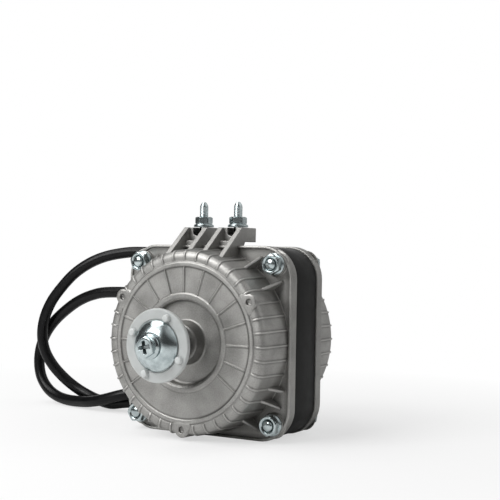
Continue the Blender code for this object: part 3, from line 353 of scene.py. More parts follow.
def add(tree: Tree, kind: str, sockets: dict | None = None, out: str | int = 0,
        stops: tuple[tuple[float, str], ...] = (), **settings) -> Socket | None:
    """Adds a node with its settings and links.

    Args:
        tree: the node tree.
        kind: the node's type, without ShaderNode in front.
        sockets: input name or index to a value, or to the output that feeds it. A colour Mix has its factor at 0
            and its colours at 6 and 7.
        out: the wanted output, which is 2 for a colour Mix.
        stops: a colour ramp's stops as (position, hex colour).
        settings: the node's own properties.

    Returns:
        The wanted output, or None for a node without outputs.
    """
    made = tree.nodes.new("ShaderNode" + kind)
    for name, value in settings.items():
        setattr(made, name, value)
    for name, value in (sockets or {}).items():
        if isinstance(value, Socket):
            tree.links.new(value, made.inputs[name])
        else:
            made.inputs[name].default_value = value
    if stops:
        elements = made.color_ramp.elements
        while len(elements) < len(stops):
            elements.new(0.5)
        for element, (position, colour) in zip(elements, stops):
            element.position = position
            element.color = linear(colour)
    return made.outputs[out] if made.outputs else None


class Finish:
    """A finish, whose shader works on Object coordinates; sizes in _mm are in millimetres, depths in metres."""

    name: str

    def shader(self, tree: Tree, where: Socket) -> Socket:
        """The shader of the finish, given the coordinates in metres."""
        raise NotImplementedError

    def material(self) -> bpy.types.Material:
        """A new material with the finish's shader."""
        made = bpy.data.materials.new(self.name)
        made.use_nodes = True
        tree = made.node_tree
        tree.nodes.clear()
        add(tree, "OutputMaterial", {"Surface": self.shader(tree, add(tree, "TexCoord", out="Object"))})
        return made


@dataclass(frozen=True)
class CastAluminium(Finish):
    """Die-cast aluminium alloy, tumbled: a grey satin skin, lighter on worn edges with painted highlight, with painted
    shade in corners.
    """

    name: str = "die_cast_aluminium"
    body: str = "#a9a8a5"
    pale: str = "#b5b4b1"
    dull: str = "#9c9b98"
    rubbed_and_highlight: str = "#d6d5d2"
    shade_grey: str = "#4c4b49"
    fleck: str = "#dcdcdc"
    blotch_mm: float = 9.0
    ripple_mm: float = 2.6
    ripple_depth: float = 0.00008
    grain_mm: float = 0.5
    grain_depth: float = 0.00003
    roughness: tuple[float, float] = (0.40, 0.52)
    metallic: float = 0.85
    rubbed_and_highlight_share: float = 0.32
    shade_grey_share: float = 0.80

    def shader(self, tree: Tree, where: Socket) -> Socket:
        """Flow blotches, soft ripples and a fine grain on a rough metal.

        One attribute lightens crests as worn edges with painted highlight, and the other paints shade into roots and
        hollows.

        Args:
            tree: the material's node tree.
            where: the Object coordinates.

        Returns:
            The shader.
        """
        blotch = add(tree, "TexNoise", {"Vector": where, "Scale": 1000 / self.blotch_mm, "Detail": 3.0})
        ripple = add(tree, "TexNoise", {"Vector": where, "Scale": 1000 / self.ripple_mm, "Detail": 3.0,
                                        "Roughness": 0.6})
        grain = add(tree, "TexNoise", {"Vector": where, "Scale": 1000 / self.grain_mm, "Roughness": 0.6})
        colour = add(tree, "ValToRGB", {0: blotch}, stops=((0.32, self.dull), (0.5, self.body), (0.68, self.pale)))
        flecks = add(tree, "ValToRGB", {0: grain}, stops=((0.35, self.fleck), (0.65, "#ffffff")))
        colour = add(tree, "Mix", {0: 0.7, 6: colour, 7: flecks}, 2, data_type="RGBA", blend_type="MULTIPLY")
        # Worn edges with painted highlight lighten the colour, and painted shade darkens it.
        for attribute, most, shade in (("rubbed_and_highlight", self.rubbed_and_highlight_share, self.rubbed_and_highlight),
                                       ("painted_shade", self.shade_grey_share, self.shade_grey)):
            amount = add(tree, "Attribute", out="Fac", attribute_name=attribute)
            share = add(tree, "MapRange", {"Value": amount, "To Max": most})
            colour = add(tree, "Mix", {0: share, 6: colour, 7: linear(shade)}, 2, data_type="RGBA")
        low, high = self.roughness
        rough = add(tree, "MapRange", {"Value": blotch, **MIDDLE, "To Min": low, "To Max": high})
        normal = add(tree, "Bump", {"Height": ripple, "Strength": 1.0, "Distance": self.ripple_depth})
        normal = add(tree, "Bump", {"Height": grain, "Strength": 1.0, "Distance": self.grain_depth, "Normal": normal})
        return add(tree, "BsdfPrincipled", {"Base Color": colour, "Metallic": self.metallic,
                                            "Roughness": rough, "Normal": normal})


@dataclass(frozen=True)
class PlatedSteel(Finish):
    """Steel with bright zinc plating, or ground steel without it: a clear, slightly clouded metal, painted in shade
    where it stands in slots and recesses.
    """

    name: str = "bright_zinc_plate"
    body: str = "#c6d0d1"
    cloudy: str = "#a6b1b3"
    roughness: float = 0.20
    cloud_mm: float = 3.0
    cloud_rough: float = 0.07
    clear_gloss: float = 0.03
    hollow_shade: str = "#16181a"
    peel_mm: float = 0.8
    peel_depth: float = 0.000006

    def shader(self, tree: Tree, where: Socket) -> Socket:
        """Soft clouds in colour and gloss with a faint orange peel.

        Args:
            tree: the material's node tree.
            where: the Object coordinates.

        Returns:
            The shader.
        """
        cloud = add(tree, "TexNoise", {"Vector": where, "Scale": 1000 / self.cloud_mm, "Detail": 3.0,
                                       "Roughness": 0.6})
        peel = add(tree, "TexNoise", {"Vector": where, "Scale": 1000 / self.peel_mm})
        colour = add(tree, "ValToRGB", {0: cloud}, stops=((0.3, self.cloudy), (0.65, self.body)))
        # Painted shade where a part stands in a slot or a recess.
        painted_shade = add(tree, "Attribute", out="Fac", attribute_name="painted_shade")
        colour = add(tree, "Mix", {0: painted_shade, 6: colour, 7: linear(self.hollow_shade)}, 2, data_type="RGBA")
        rough = add(tree, "MapRange", {"Value": cloud, **MIDDLE, "To Min": self.roughness + self.cloud_rough,
                                       "To Max": self.roughness - self.clear_gloss})
        normal = add(tree, "Bump", {"Height": peel, "Strength": 1.0, "Distance": self.peel_depth})
        return add(tree, "BsdfPrincipled", {"Base Color": colour, "Metallic": 1.0, "Roughness": rough,
                                            "Normal": normal})


@dataclass(frozen=True)
class BlackStack(Finish):
    """Punched laminations under satin black paint: fine lines across the stack and a thin grey sheen.

    A real sheet is 0.5 mm, too fine to show, so one drawn line stands for two sheets.
    """

    name: str = "painted_laminations"
    body: str = "#0b0b0b"
    thin: str = "#131312"
    blotch_mm: float = 5.0
    sheet_mm: float = 1.0
    sheet_depth: float = 0.00003
    grain_mm: float = 0.4
    grain_depth: float = 0.000015
    roughness: tuple[float, float] = (0.38, 0.48)
    gloss: float = 0.15

    def shader(self, tree: Tree, where: Socket) -> Socket:
        """A wave along the shaft one line long, drawn as shallow grooves, with blotches of thinner paint.

        Args:
            tree: the material's node tree.
            where: the Object coordinates.

        Returns:
            The shader.
        """
        blotch = add(tree, "TexNoise", {"Vector": where, "Scale": 1000 / self.blotch_mm, "Detail": 3.0})
        grain = add(tree, "TexNoise", {"Vector": where, "Scale": 1000 / self.grain_mm})
        colour = add(tree, "ValToRGB", {0: blotch}, stops=((0.35, self.body), (0.7, self.thin)))
        # A wave texture of scale 1 repeats every tau / 20 metres.
        wave = add(tree, "TexWave", {"Vector": where, "Scale": 1000 / self.sheet_mm * math.tau / 20}, "Fac",
                   bands_direction="Y")
        normal = add(tree, "Bump", {"Height": wave, "Strength": 1.0, "Distance": self.sheet_depth})
        normal = add(tree, "Bump", {"Height": grain, "Strength": 1.0, "Distance": self.grain_depth, "Normal": normal})
        low, high = self.roughness
        rough = add(tree, "MapRange", {"Value": blotch, **MIDDLE, "To Min": low, "To Max": high})
        return add(tree, "BsdfPrincipled", {"Base Color": colour, "Roughness": rough, "Normal": normal,
                                            "Specular IOR Level": self.gloss})


@dataclass(frozen=True)
class Moulding(Finish):
    """A moulded plastic or rubber: nylon, PVC sheath, core insulation, gland rubber or felt."""

    name: str
    body: str
    pale: str
    roughness: float
    grain_mm: float = 0.6
    grain_depth: float = 0.00001
    glow: float = 0.0
    sheen: float = 0.0
    gloss: float = 0.5
    # The painted highlight on small raised forms.
    bright: str = "#e3e6e5"
    drift_mm: float = 6.0
    rough_drift: float = 0.05
    glow_depth: float = 0.0015

    def shader(self, tree: Tree, where: Socket) -> Socket:
        """Slight colour drift and a fine moulded grain; glow is how much light goes below the skin.

        A painted highlight lightens small raised forms, standing for light that comes out of the plastic from all
        sides.

        Args:
            tree: the material's node tree.
            where: the Object coordinates.

        Returns:
            The shader.
        """
        drift = add(tree, "TexNoise", {"Vector": where, "Scale": 1000 / self.drift_mm})
        grain = add(tree, "TexNoise", {"Vector": where, "Scale": 1000 / self.grain_mm})
        colour = add(tree, "ValToRGB", {0: drift}, stops=((0.35, self.body), (0.65, self.pale)))
        raised = add(tree, "Attribute", out="Fac", attribute_name="rubbed_and_highlight")
        colour = add(tree, "Mix", {0: raised, 6: colour, 7: linear(self.bright)}, 2, data_type="RGBA")
        rough = add(tree, "MapRange", {"Value": grain, **MIDDLE, "To Min": self.roughness - self.rough_drift,
                                       "To Max": self.roughness + self.rough_drift})
        normal = add(tree, "Bump", {"Height": grain, "Strength": 1.0, "Distance": self.grain_depth})
        return add(tree, "BsdfPrincipled", {
            "Base Color": colour, "Roughness": rough, "Normal": normal, "Subsurface Weight": self.glow,
            "Subsurface Scale": self.glow_depth, "Subsurface Radius": (1.0, 0.95, 0.9), "Sheen Weight": self.sheen,
            "Specular IOR Level": self.gloss})


@dataclass(frozen=True)
class WoundCopper(Finish):
    """Enamelled copper wire or a bare copper band: warm metal with the turns of the wire as fine ridges."""

    name: str = "enamelled_copper"
    body: str = "#b8703f"
    dark: str = "#8a4c28"
    turn_mm: float = 0.35
    turn_depth: float = 0.00008
    roughness: float = 0.35

    def shader(self, tree: Tree, where: Socket) -> Socket:
        """A fine noise stands for the wire's turns.

        Args:
            tree: the material's node tree.
            where: the Object coordinates.

        Returns:
            The shader.
        """
        turns = add(tree, "TexNoise", {"Vector": where, "Scale": 1000 / self.turn_mm, "Detail": 1.0})
        colour = add(tree, "ValToRGB", {0: turns}, stops=((0.35, self.dark), (0.6, self.body)))
        normal = add(tree, "Bump", {"Height": turns, "Strength": 1.0, "Distance": self.turn_depth})
        return add(tree, "BsdfPrincipled", {"Base Color": colour, "Metallic": 1.0, "Roughness": self.roughness,
                                            "Normal": normal})


@dataclass(frozen=True)
class WhitePaper(Finish):
    """The studio's matt white paper, which fades to plain white for the camera away from the object."""

    name: str = "white_paper"
    body: str = "#f4f4f4"
    near: float = 0.08
    far: float = 0.30
    least: float = 0.6
    roughness: float = 0.9

    def shader(self, tree: Tree, where: Socket) -> Socket:
        """Paper, mixed with white light for camera rays only, from the least share near the object to all far away.

        Args:
            tree: the material's node tree.
            where: the Object coordinates.

        Returns:
            The shader.
        """
        distance = add(tree, "VectorMath", {0: where}, "Value", operation="LENGTH")
        away = add(tree, "MapRange", {"Value": distance, "From Min": self.near, "From Max": self.far,
                                      "To Min": self.least})
        seen = add(tree, "LightPath", out="Is Camera Ray")
        share = add(tree, "Math", {0: away, 1: seen}, operation="MULTIPLY")
        paper = add(tree, "BsdfPrincipled", {"Base Color": linear(self.body), "Roughness": self.roughness})
        white = add(tree, "Emission", {"Color": (1, 1, 1, 1), "Strength": 1.0})
        return add(tree, "MixShader", {0: share, 1: paper, 2: white})


class Finishes:
    """Every finish of the motor, made once."""

    def __init__(self) -> None:
        """Makes the materials, keyed by the record's slot names."""
        looks = {
            "cast_aluminium": CastAluminium(),
            "black_stack": BlackStack(),
            "zinc_plate": PlatedSteel(),
            "steel": PlatedSteel("ground_steel", "#b4b4b2", "#8e8e8c", 0.30),
            "sintered_bronze": PlatedSteel("sintered_bronze", "#a98a5a", "#8a6c40", 0.45, cloud_mm=0.8),
            "copper": WoundCopper(),
            "white_nylon": Moulding("natural_nylon", "#b3b6b5", "#bbbebd", 0.42, grain_mm=0.8, grain_depth=0.000006,
                                    glow=0.35),
            "felt": Moulding("oiled_felt", "#a79c86", "#beb49f", 0.95, grain_mm=0.3, grain_depth=0.00015, sheen=0.3),
            "black_rubber": Moulding("gland_rubber", "#141415", "#1c1c1d", 0.55, grain_mm=0.5, grain_depth=0.000012,
                                     gloss=0.25),
            "lead_sheath": Moulding("pvc_sheath", "#080809", "#0e0e0f", 0.34, grain_mm=1.2, grain_depth=0.00002,
                                    gloss=0.2),
            "brown_insulation": Moulding("brown_core_pvc", "#5a3826", "#664230", 0.38),
            "blue_insulation": Moulding("blue_core_pvc", "#2356a0", "#2c62b0", 0.38),
            "earth_insulation": Moulding("earth_core_pvc", "#6da43a", "#8abf45", 0.38),
        }
        self.by_slot = {slot: look.material() for slot, look in looks.items()}


class Workshop:
    """Makes pieces, puts them on their bodies and gives them their finishes."""

    def __init__(self, finishes: Finishes) -> None:
        """Keeps the finishes."""
        self.finishes = finishes

    def make(self, name: str, shell: Shell, slot: str, *nodes: str, body: Body = Body.HOUSING,
             sharp: float = 40.0) -> Piece:
        """Builds a piece from its skin and fits it."""
        return self.fit(built(name, shell, sharp), slot, *nodes, body=body)

    def fit(self, piece: Piece, slot: str, *nodes: str, body: Body = Body.HOUSING) -> Piece:
        """Dresses a piece and lets it stand for its CAD nodes.

        Args:
            piece: the object.
            slot: the record's material slot.
            nodes: the CAD nodes that it replaces.
            body: the body that it rides on.

        Returns:
            The same object.
        """
        piece.data.materials.clear()
        piece.data.materials.append(self.finishes.by_slot[slot])
        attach(piece, body.value)
        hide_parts(*nodes)
        LOG.info("%s: %s, for %s", piece.name, slot, ", ".join(nodes))
        return piece


@dataclass
class ShieldSizes:
    """A shield's sizes, heights measured outwards from its flange's face; a nose bore of 0 closes the nose.

    rib_half and face_rib_half are how far a rib's crest and its foot reach to either side.
    """

    plate: float = 0.0045
    lip_w: float = 0.0012
    lip_h: float = 0.0008
    drum_r: float = 0.0403
    under: float = 0.0014
    draft: float = 0.0007
    depth: float = 0.0199
    ring_r: float = 0.0334
    ring_w: float = 0.0020
    ring_h: float = 0.0004
    shoulder: float = 2.7
    rib_h: float = 0.0005
    rib_half: tuple[float, float] = (0.22e-3, 0.56e-3)
    face_rib_h: float = 0.0006
    face_rib_half: tuple[float, float] = (0.16e-3, 0.50e-3)
    rib_count: int = 40
    column_r: float = 0.0205
    lip_ring_r: float = 0.02008
    lip_ring_w: float = 0.0021
    recess_r: float = 0.0184
    recess_depth: float = 0.0031
    nose_base_r: float = 0.0091
    nose_tip_r: float = 0.0082
    nose_length: float = 0.0058
    nose_bore_r: float = 0.0060
    nose_bore_depth: float = 0.0030
    bearing_r: float = 0.0036
    gusset_t: float = 0.0013
    gusset_h: float = 0.0086
    gusset_reach: float = 0.0060
    side_fin_angles: tuple[int, ...] = (-27,)
    side_fin_reach: float = 0.0038
    bolt_spread: float = 0.0342
    pad_r: float = 0.0049
    pad_h: float = 0.0012
    pad_bore_r: float = 0.0027
    lug_angles: tuple[int, ...] = (30, 150, 270)
    lug_circle_r: float = 0.0371
    lug_r: float = 0.0036
    lug_flare: float = 0.0022
    lug_root: float = 0.0036
    lug_length: float = 0.0130
    lug_hole_r: float = 0.0013
    lug_hole_depth: float = 0.0012
    lug_sink: float = 0.0040
    face_rib_angles: tuple[int, ...] = tuple(range(-36, 217, 18))

    @property
    def face(self) -> float:
        """The drum's face, below the ring's crest."""
        return self.depth - self.ring_h

    @property
    def ring(self) -> tuple[float, float]:
        """The ring's inner and outer radius."""
        return self.ring_r - self.ring_w / 2, self.ring_r + self.ring_w / 2

    @property
    def lip(self) -> tuple[float, float]:
        """The inner and outer radius of the lip round the recess."""
        return self.lip_ring_r - self.lip_ring_w / 2, self.lip_ring_r + self.lip_ring_w / 2


@dataclass
class Shield:
    """One die-cast end shield: square flange, ribbed drum, ring, hub recess and bearing nose.

    Its profiles are (radius, height above the flange), and their corners add a rounding.
    """

    facing: Facing
    face_y: float
    sizes: ShieldSizes = field(default_factory=ShieldSizes)

    def skins(self) -> list[Shell]:
        """Every part of the casting, in its place."""
        parts = [self.drum(), self.recess(), self.flange()] + self.pads() + self.fins() + self.lugs()
        return [self.placed(part) for part in parts]

    def placed(self, shell: Shell) -> Shell:
        """A skin round the origin, in heights above the flange, moved to its place on the shaft."""
        return Shell(shell.points * (1.0, self.facing.value, 1.0) + (0.0, self.face_y, AXIS_Z), shell.faces, shell.light_and_wear)

    def drum_profile(self) -> Grid:
        """The drum from its foot over the shoulder, the ring, the face and the lip.

        The shoulder is a quarter of a superellipse, |x|^n + |y|^n = 1, from the side to the groove outside the ring.
        """
        s = self.sizes
        ring_in, ring_out = s.ring
        lip_in, lip_out = s.lip
        shoulder = s.depth - 0.0004
        inside = ring_out + 0.0013
        bend = s.drum_r - s.draft - inside
        turn = np.linspace(0.0, math.pi / 2, 16)
        full = 2.0 / s.shoulder
        arc = np.stack([inside + bend * np.abs(np.cos(turn)) ** full, shoulder - bend * (1.0 - np.sin(turn) ** full)],
                       axis=-1)
        foot = rounded([(s.drum_r + 0.0010, -0.0004, 0), (s.drum_r + 0.0001, 0.0002, 0.0010), (*arc[0], 0)], 7)[:-1]
        steps = np.linspace(foot[-1], arc[0], 8)[1:-1]
        corners = [(inside, shoulder, 0), (ring_out + 0.0006, shoulder - 0.0002, 0.0006),
                   (ring_out - 0.0001, s.depth, 0.0007), (ring_in + 0.0006, s.depth, 0.0005),
                   (ring_in + 0.0001, s.face, 0.0003), (ring_in - 0.0005, s.face, 0), (ring_in - 0.0009, s.face, 0),
                   (lip_out + 0.0008, s.face, 0), (lip_out + 0.0004, s.face, 0.0002),
                   (lip_out - 0.0002, s.face + 0.0004, 0.0006), (lip_in + 0.0004, s.face + 0.0004, 0.0008),
                   (s.recess_r, s.face - 0.0003, 0)]
        return np.concatenate([foot, steps, arc, rounded(corners, 7)[1:]])

    def rib_columns(self, radius: Grid) -> tuple[Grid, Grid]:
        """Columns at fixed distances from each rib, and more at even shares of the gap to the next.

        Inside column_r the columns keep their angles.

        Args:
            radius: the profile's radii.

        Returns:
            The angle of each point, rows x columns, and each column's distance from its rib.
        """
        near = np.array([-0.75, -0.55, -0.42, -0.30, -0.15, 0.0, 0.15, 0.30, 0.42, 0.55, 0.75]) * 1e-3
        gaps = np.array([0.22, 0.36, 0.5, 0.64, 0.78])
        count = self.sizes.rib_count
        step = math.tau / count
        radius = np.maximum(radius, self.sizes.column_r)[:, None]
        cell = np.concatenate([near / radius, gaps * step + 0.0 * radius], axis=1)
        angle = ((np.arange(count) * step)[None, :, None] + cell[:, None, :]).reshape(len(radius), -1)
        far = np.ones(len(gaps))
        return angle, np.tile(np.concatenate([np.abs(near), far]), count)

    def drum(self) -> Shell:
        """The ribbed drum.

        The profile is turned about the shaft and pushed out along its own normal by rib height x crest(distance
        from the nearest rib) x mask(radius). Below a tab's bore the skin sinks out of sight.
        """
        s = self.sizes
        profile = self.drum_profile()
        radius, height = profile[:, :1], profile[:, 1:]
        angle, distance = self.rib_columns(profile[:, 0])
        ring_out, lip_out = s.ring[1], s.lip[1]
        side = smoothstep(radius, ring_out + 0.0004, ring_out + 0.0016) * smoothstep(height, -0.0004, 0.0008)
        face = smoothstep(radius, lip_out + 0.0001, lip_out + 0.0008)
        face = face * (1.0 - smoothstep(radius, s.ring_r - 0.0012, s.ring_r - 0.0006))
        ribs = np.round(np.arange(s.rib_count) * 360 / s.rib_count).astype(int)
        ribbed = np.isin(ribs, [degrees % 360 for degrees in s.face_rib_angles])
        face = face * np.repeat(ribbed, len(distance) // s.rib_count)
        side_crest = (1.0 - smoothstep(distance, *s.rib_half)) * side
        face_crest = (1.0 - smoothstep(distance, *s.face_rib_half)) * face
        amount = s.rib_h * side_crest + s.face_rib_h * face_crest
        normal = outward(profile)
        r = radius + normal[:, :1] * amount
        h = height + normal[:, 1:] * amount
        for degrees in s.lug_angles:
            lug = on_circle(s.lug_circle_r, degrees)
            away = np.hypot(r * np.cos(angle) - lug[0], r * np.sin(angle) - lug[2])
            h = h - s.lug_sink * (1.0 - smoothstep(away, 0.0015, 0.0025)) * (height > s.depth - 0.005)
        # Worn crests with painted highlight on the ribs, and painted shade at the rib roots.
        root = bell(distance, 0.60e-3, 0.16e-3)
        light_and_wear = 0.8 * side_crest + 0.5 * face_crest - 0.7 * root * (side + face) + self.ring_light_and_shade(radius)
        return woven(about_y(r, h, angle), light_and_wear=light_and_wear)

    def ring_light_and_shade(self, radius: Grid) -> Grid:
        """Slightly lighter crests on the ring and the lip as worn edges with painted highlight, and painted shade in
        the ring's inner foot, just outside each ring and round the lip.

        Args:
            radius: the radii of the profile.

        Returns:
            The wear at each.
        """
        s = self.sizes
        light_and_wear = -1.0 * bell(radius, s.ring[0], 0.0004) - 0.5 * bell(radius, s.recess_r, 0.0005)
        for middle, half in ((s.ring_r, s.ring_w / 2), (s.lip_ring_r, s.lip_ring_w / 2)):
            light_and_wear += 0.05 * (1.0 - smoothstep(np.abs(radius - middle), 0.5 * half, 0.9 * half))
            light_and_wear -= 0.4 * bell(radius, middle + half + 0.0004, 0.0003)
        return light_and_wear

    def recess(self) -> Shell:
        """The hub recess from its wall over the floor and the nose into the nose's bore, turned about the shaft."""
        s = self.sizes
        floor = s.face - s.recess_depth
        tip = floor + s.nose_length
        corners = [(s.recess_r, s.face - 0.0003, 0), (s.recess_r - 0.0004, floor, 0.0016),
                   (s.nose_base_r + 0.0002, floor, 0.0012), (s.nose_tip_r, tip, 0.0010)]
        if s.nose_bore_r:
            seat = tip - s.nose_bore_depth
            corners += [(s.nose_bore_r, tip, 0.0004), (s.nose_bore_r, seat, 0.0003), (s.bearing_r, seat, 0.0002),
                        (s.bearing_r, floor - 0.0020, 0)]
        else:
            corners += [(0.0, tip, 0)]
        profile = rounded(corners, 7)
        radius = profile[:, 0]
        # Painted shade on the bearing nose, at the recess wall's foot and a little over the whole recess.
        light_and_wear = -0.45 * (1.0 - smoothstep(radius, s.nose_base_r, s.nose_base_r + 0.0012))
        light_and_wear -= 0.5 * bell(radius, s.recess_r - 0.0006, 0.0005) + 0.15
        return turned_skin(profile, 120, light_and_wear)

    def flange(self) -> Shell:
        """The square flange: an (inset, height) section carried round the outline, its inner edge under the drum."""
        s = self.sizes
        section = rounded([(s.lip_w + 0.0022, 0.0, 0), (s.lip_w + 0.0001, 0.0, 0.0003),
                           (s.lip_w - 0.0001, s.lip_h, 0.0003), (0.0, s.lip_h, 0.0005), (0.0, -s.plate, 0.0004),
                           (0.0030, -s.plate, 0)], 5)
        rows = square_rows(section[:, 0])
        inner = rows[:1] / np.linalg.norm(rows[:1], axis=2, keepdims=True) * (s.drum_r - s.under)
        flat = np.concatenate([inner, rows, inner])
        height = np.concatenate([[0.0], section[:, 1], [-s.plate]])
        grid = np.stack(np.broadcast_arrays(flat[..., 0], height[:, None], flat[..., 1]), axis=-1)
        inset = np.concatenate([[0.01], section[:, 0], [0.01]])
        # A worn lip with painted highlight; painted shade just inside the lip and on the row under the drum, and a
        # little over the whole flange.
        light_and_wear = 0.5 * (1.0 - smoothstep(np.abs(inset - 0.0004), 0.0003, 0.0009)) * (height > 0.0004) - 0.15
        light_and_wear -= 0.6 * bell(inset, s.lip_w + 0.0004, 0.0003) * (height > -0.001)
        light_and_wear[0] = -1.0
        return woven(grid, wrap_rows=True, light_and_wear=light_and_wear[:, None])

    def pads(self) -> list[Shell]:
        """Round seats under the nuts or bolt heads, with a filleted foot and a bore."""
        s = self.sizes
        profile = rounded([(s.pad_bore_r, s.pad_h - 0.003, 0), (s.pad_bore_r, s.pad_h, 0.0002),
                           (s.pad_r, s.pad_h, 0.0004), (s.pad_r + 0.0002, 0.0, 0.0008),
                           (s.pad_r + 0.0012, -0.0002, 0)], 4)
        pad = turned_skin(profile, 40)
        return [pad.moved((i * s.bolt_spread, 0.0, k * s.bolt_spread)) for i in (-1, 1) for k in (-1, 1)]

    def fins(self) -> list[Shell]:
        """Sloped fins on both sides of each corner, and the single ones on the front shield's side."""
        s = self.sizes
        step = 360 / s.rib_count
        corners = [self.fin(corner + way * step, s.gusset_reach) for corner in (45, 135, 225, 315) for way in (-1, 1)]
        return corners + [self.fin(degrees, s.side_fin_reach) for degrees in s.side_fin_angles]

    def fin(self, degrees: float, reach: float) -> Shell:
        """One fin from the drum's side down to the flange.

        Its side is an outline in the plane through the shaft; its edge is a half-round of the fin's thickness,
        carried along the outline.

        Args:
            degrees: its angle round the shaft, from +X.
            reach: how far it stands out from the drum at its foot.

        Returns:
            The fin's skin.
        """
        s = self.sizes
        inner = s.drum_r - s.under
        outer = s.drum_r + reach
        outline = rounded([(inner, -0.0004, 0), (outer, -0.0004, 0), (outer, 0.0010, 0.0006),
                           (s.drum_r + 0.0004, s.gusset_h, 0.0022), (inner, s.gusset_h + 0.0010, 0)], 6)
        turn = np.linspace(-math.pi / 2, math.pi / 2, 9)
        half = s.gusset_t / 2
        back = np.stack([np.full(len(outline), inner), np.minimum(outline[:, 1], s.gusset_h)], axis=-1)[:, None, :]
        rim = outline[:, None, :] - outward(outline)[:, None, :] * (half * (1.0 - np.cos(turn)))[None, :, None] * 0.6
        columns = np.concatenate([back, rim, back], axis=1)
        side = np.concatenate([[-half], half * np.sin(turn), [half]])
        flat = swung(np.stack(np.broadcast_arrays(columns[..., 0], side), axis=-1), math.radians(degrees))
        # Worn, lighter fin edges with painted highlight.
        light_and_wear = np.concatenate([[0.0], 0.5 * np.cos(turn), [0.0]])
        return woven(np.stack([flat[..., 0], columns[..., 1], flat[..., 1]], axis=-1), light_and_wear=light_and_wear)

    def lugs(self) -> list[Shell]:
        """Bored tabs that stand up the drum's side to the ring's height and widen into the ring.

        A tab's outline is the bore's circle scaled up to lug_r, plus flare x smoothstep(angle from outwards), cut off
        by a straight line lug_root behind the bore.
        """
        s = self.sizes
        top = s.depth + 0.1 * s.ring_h
        low = s.depth - s.lug_length
        profile = rounded([(0.0, top - s.lug_hole_depth, 0), (s.lug_hole_r, top - s.lug_hole_depth, 0.0006),
                           (s.lug_hole_r, top, 0.0004), (s.lug_r - 0.0001, top, 0.0009),
                           (s.lug_r + 0.0002, low, 0.0004), (0.0, low, 0)], 5)
        radius, height = profile[:, :1], profile[:, 1:]
        # Painted shade in the bore and down the tab towards the drum.
        light_and_wear = -0.3 * (1.0 - smoothstep(radius, s.lug_hole_r - 0.0001, s.lug_hole_r + 0.0005)) * (height > low + 0.001)
        light_and_wear -= 0.3 * smoothstep(top - height, 0.0006, 0.0030)
        angle = np.linspace(-math.pi, math.pi, 64, endpoint=False)
        reach = s.lug_r + s.lug_flare * smoothstep(np.abs(angle), 1.3, 2.2)
        reach = np.minimum(reach, s.lug_root / np.maximum(-np.cos(angle), 0.05))
        share = smoothstep(radius, s.lug_hole_r + 0.0003, s.lug_r - 0.0002)
        wide = radius * (1.0 + (reach / s.lug_r - 1.0) * share)
        return [woven(about_y(wide, height, angle + math.radians(degrees)), light_and_wear=light_and_wear)
                .moved(on_circle(s.lug_circle_r, degrees)) for degrees in s.lug_angles]


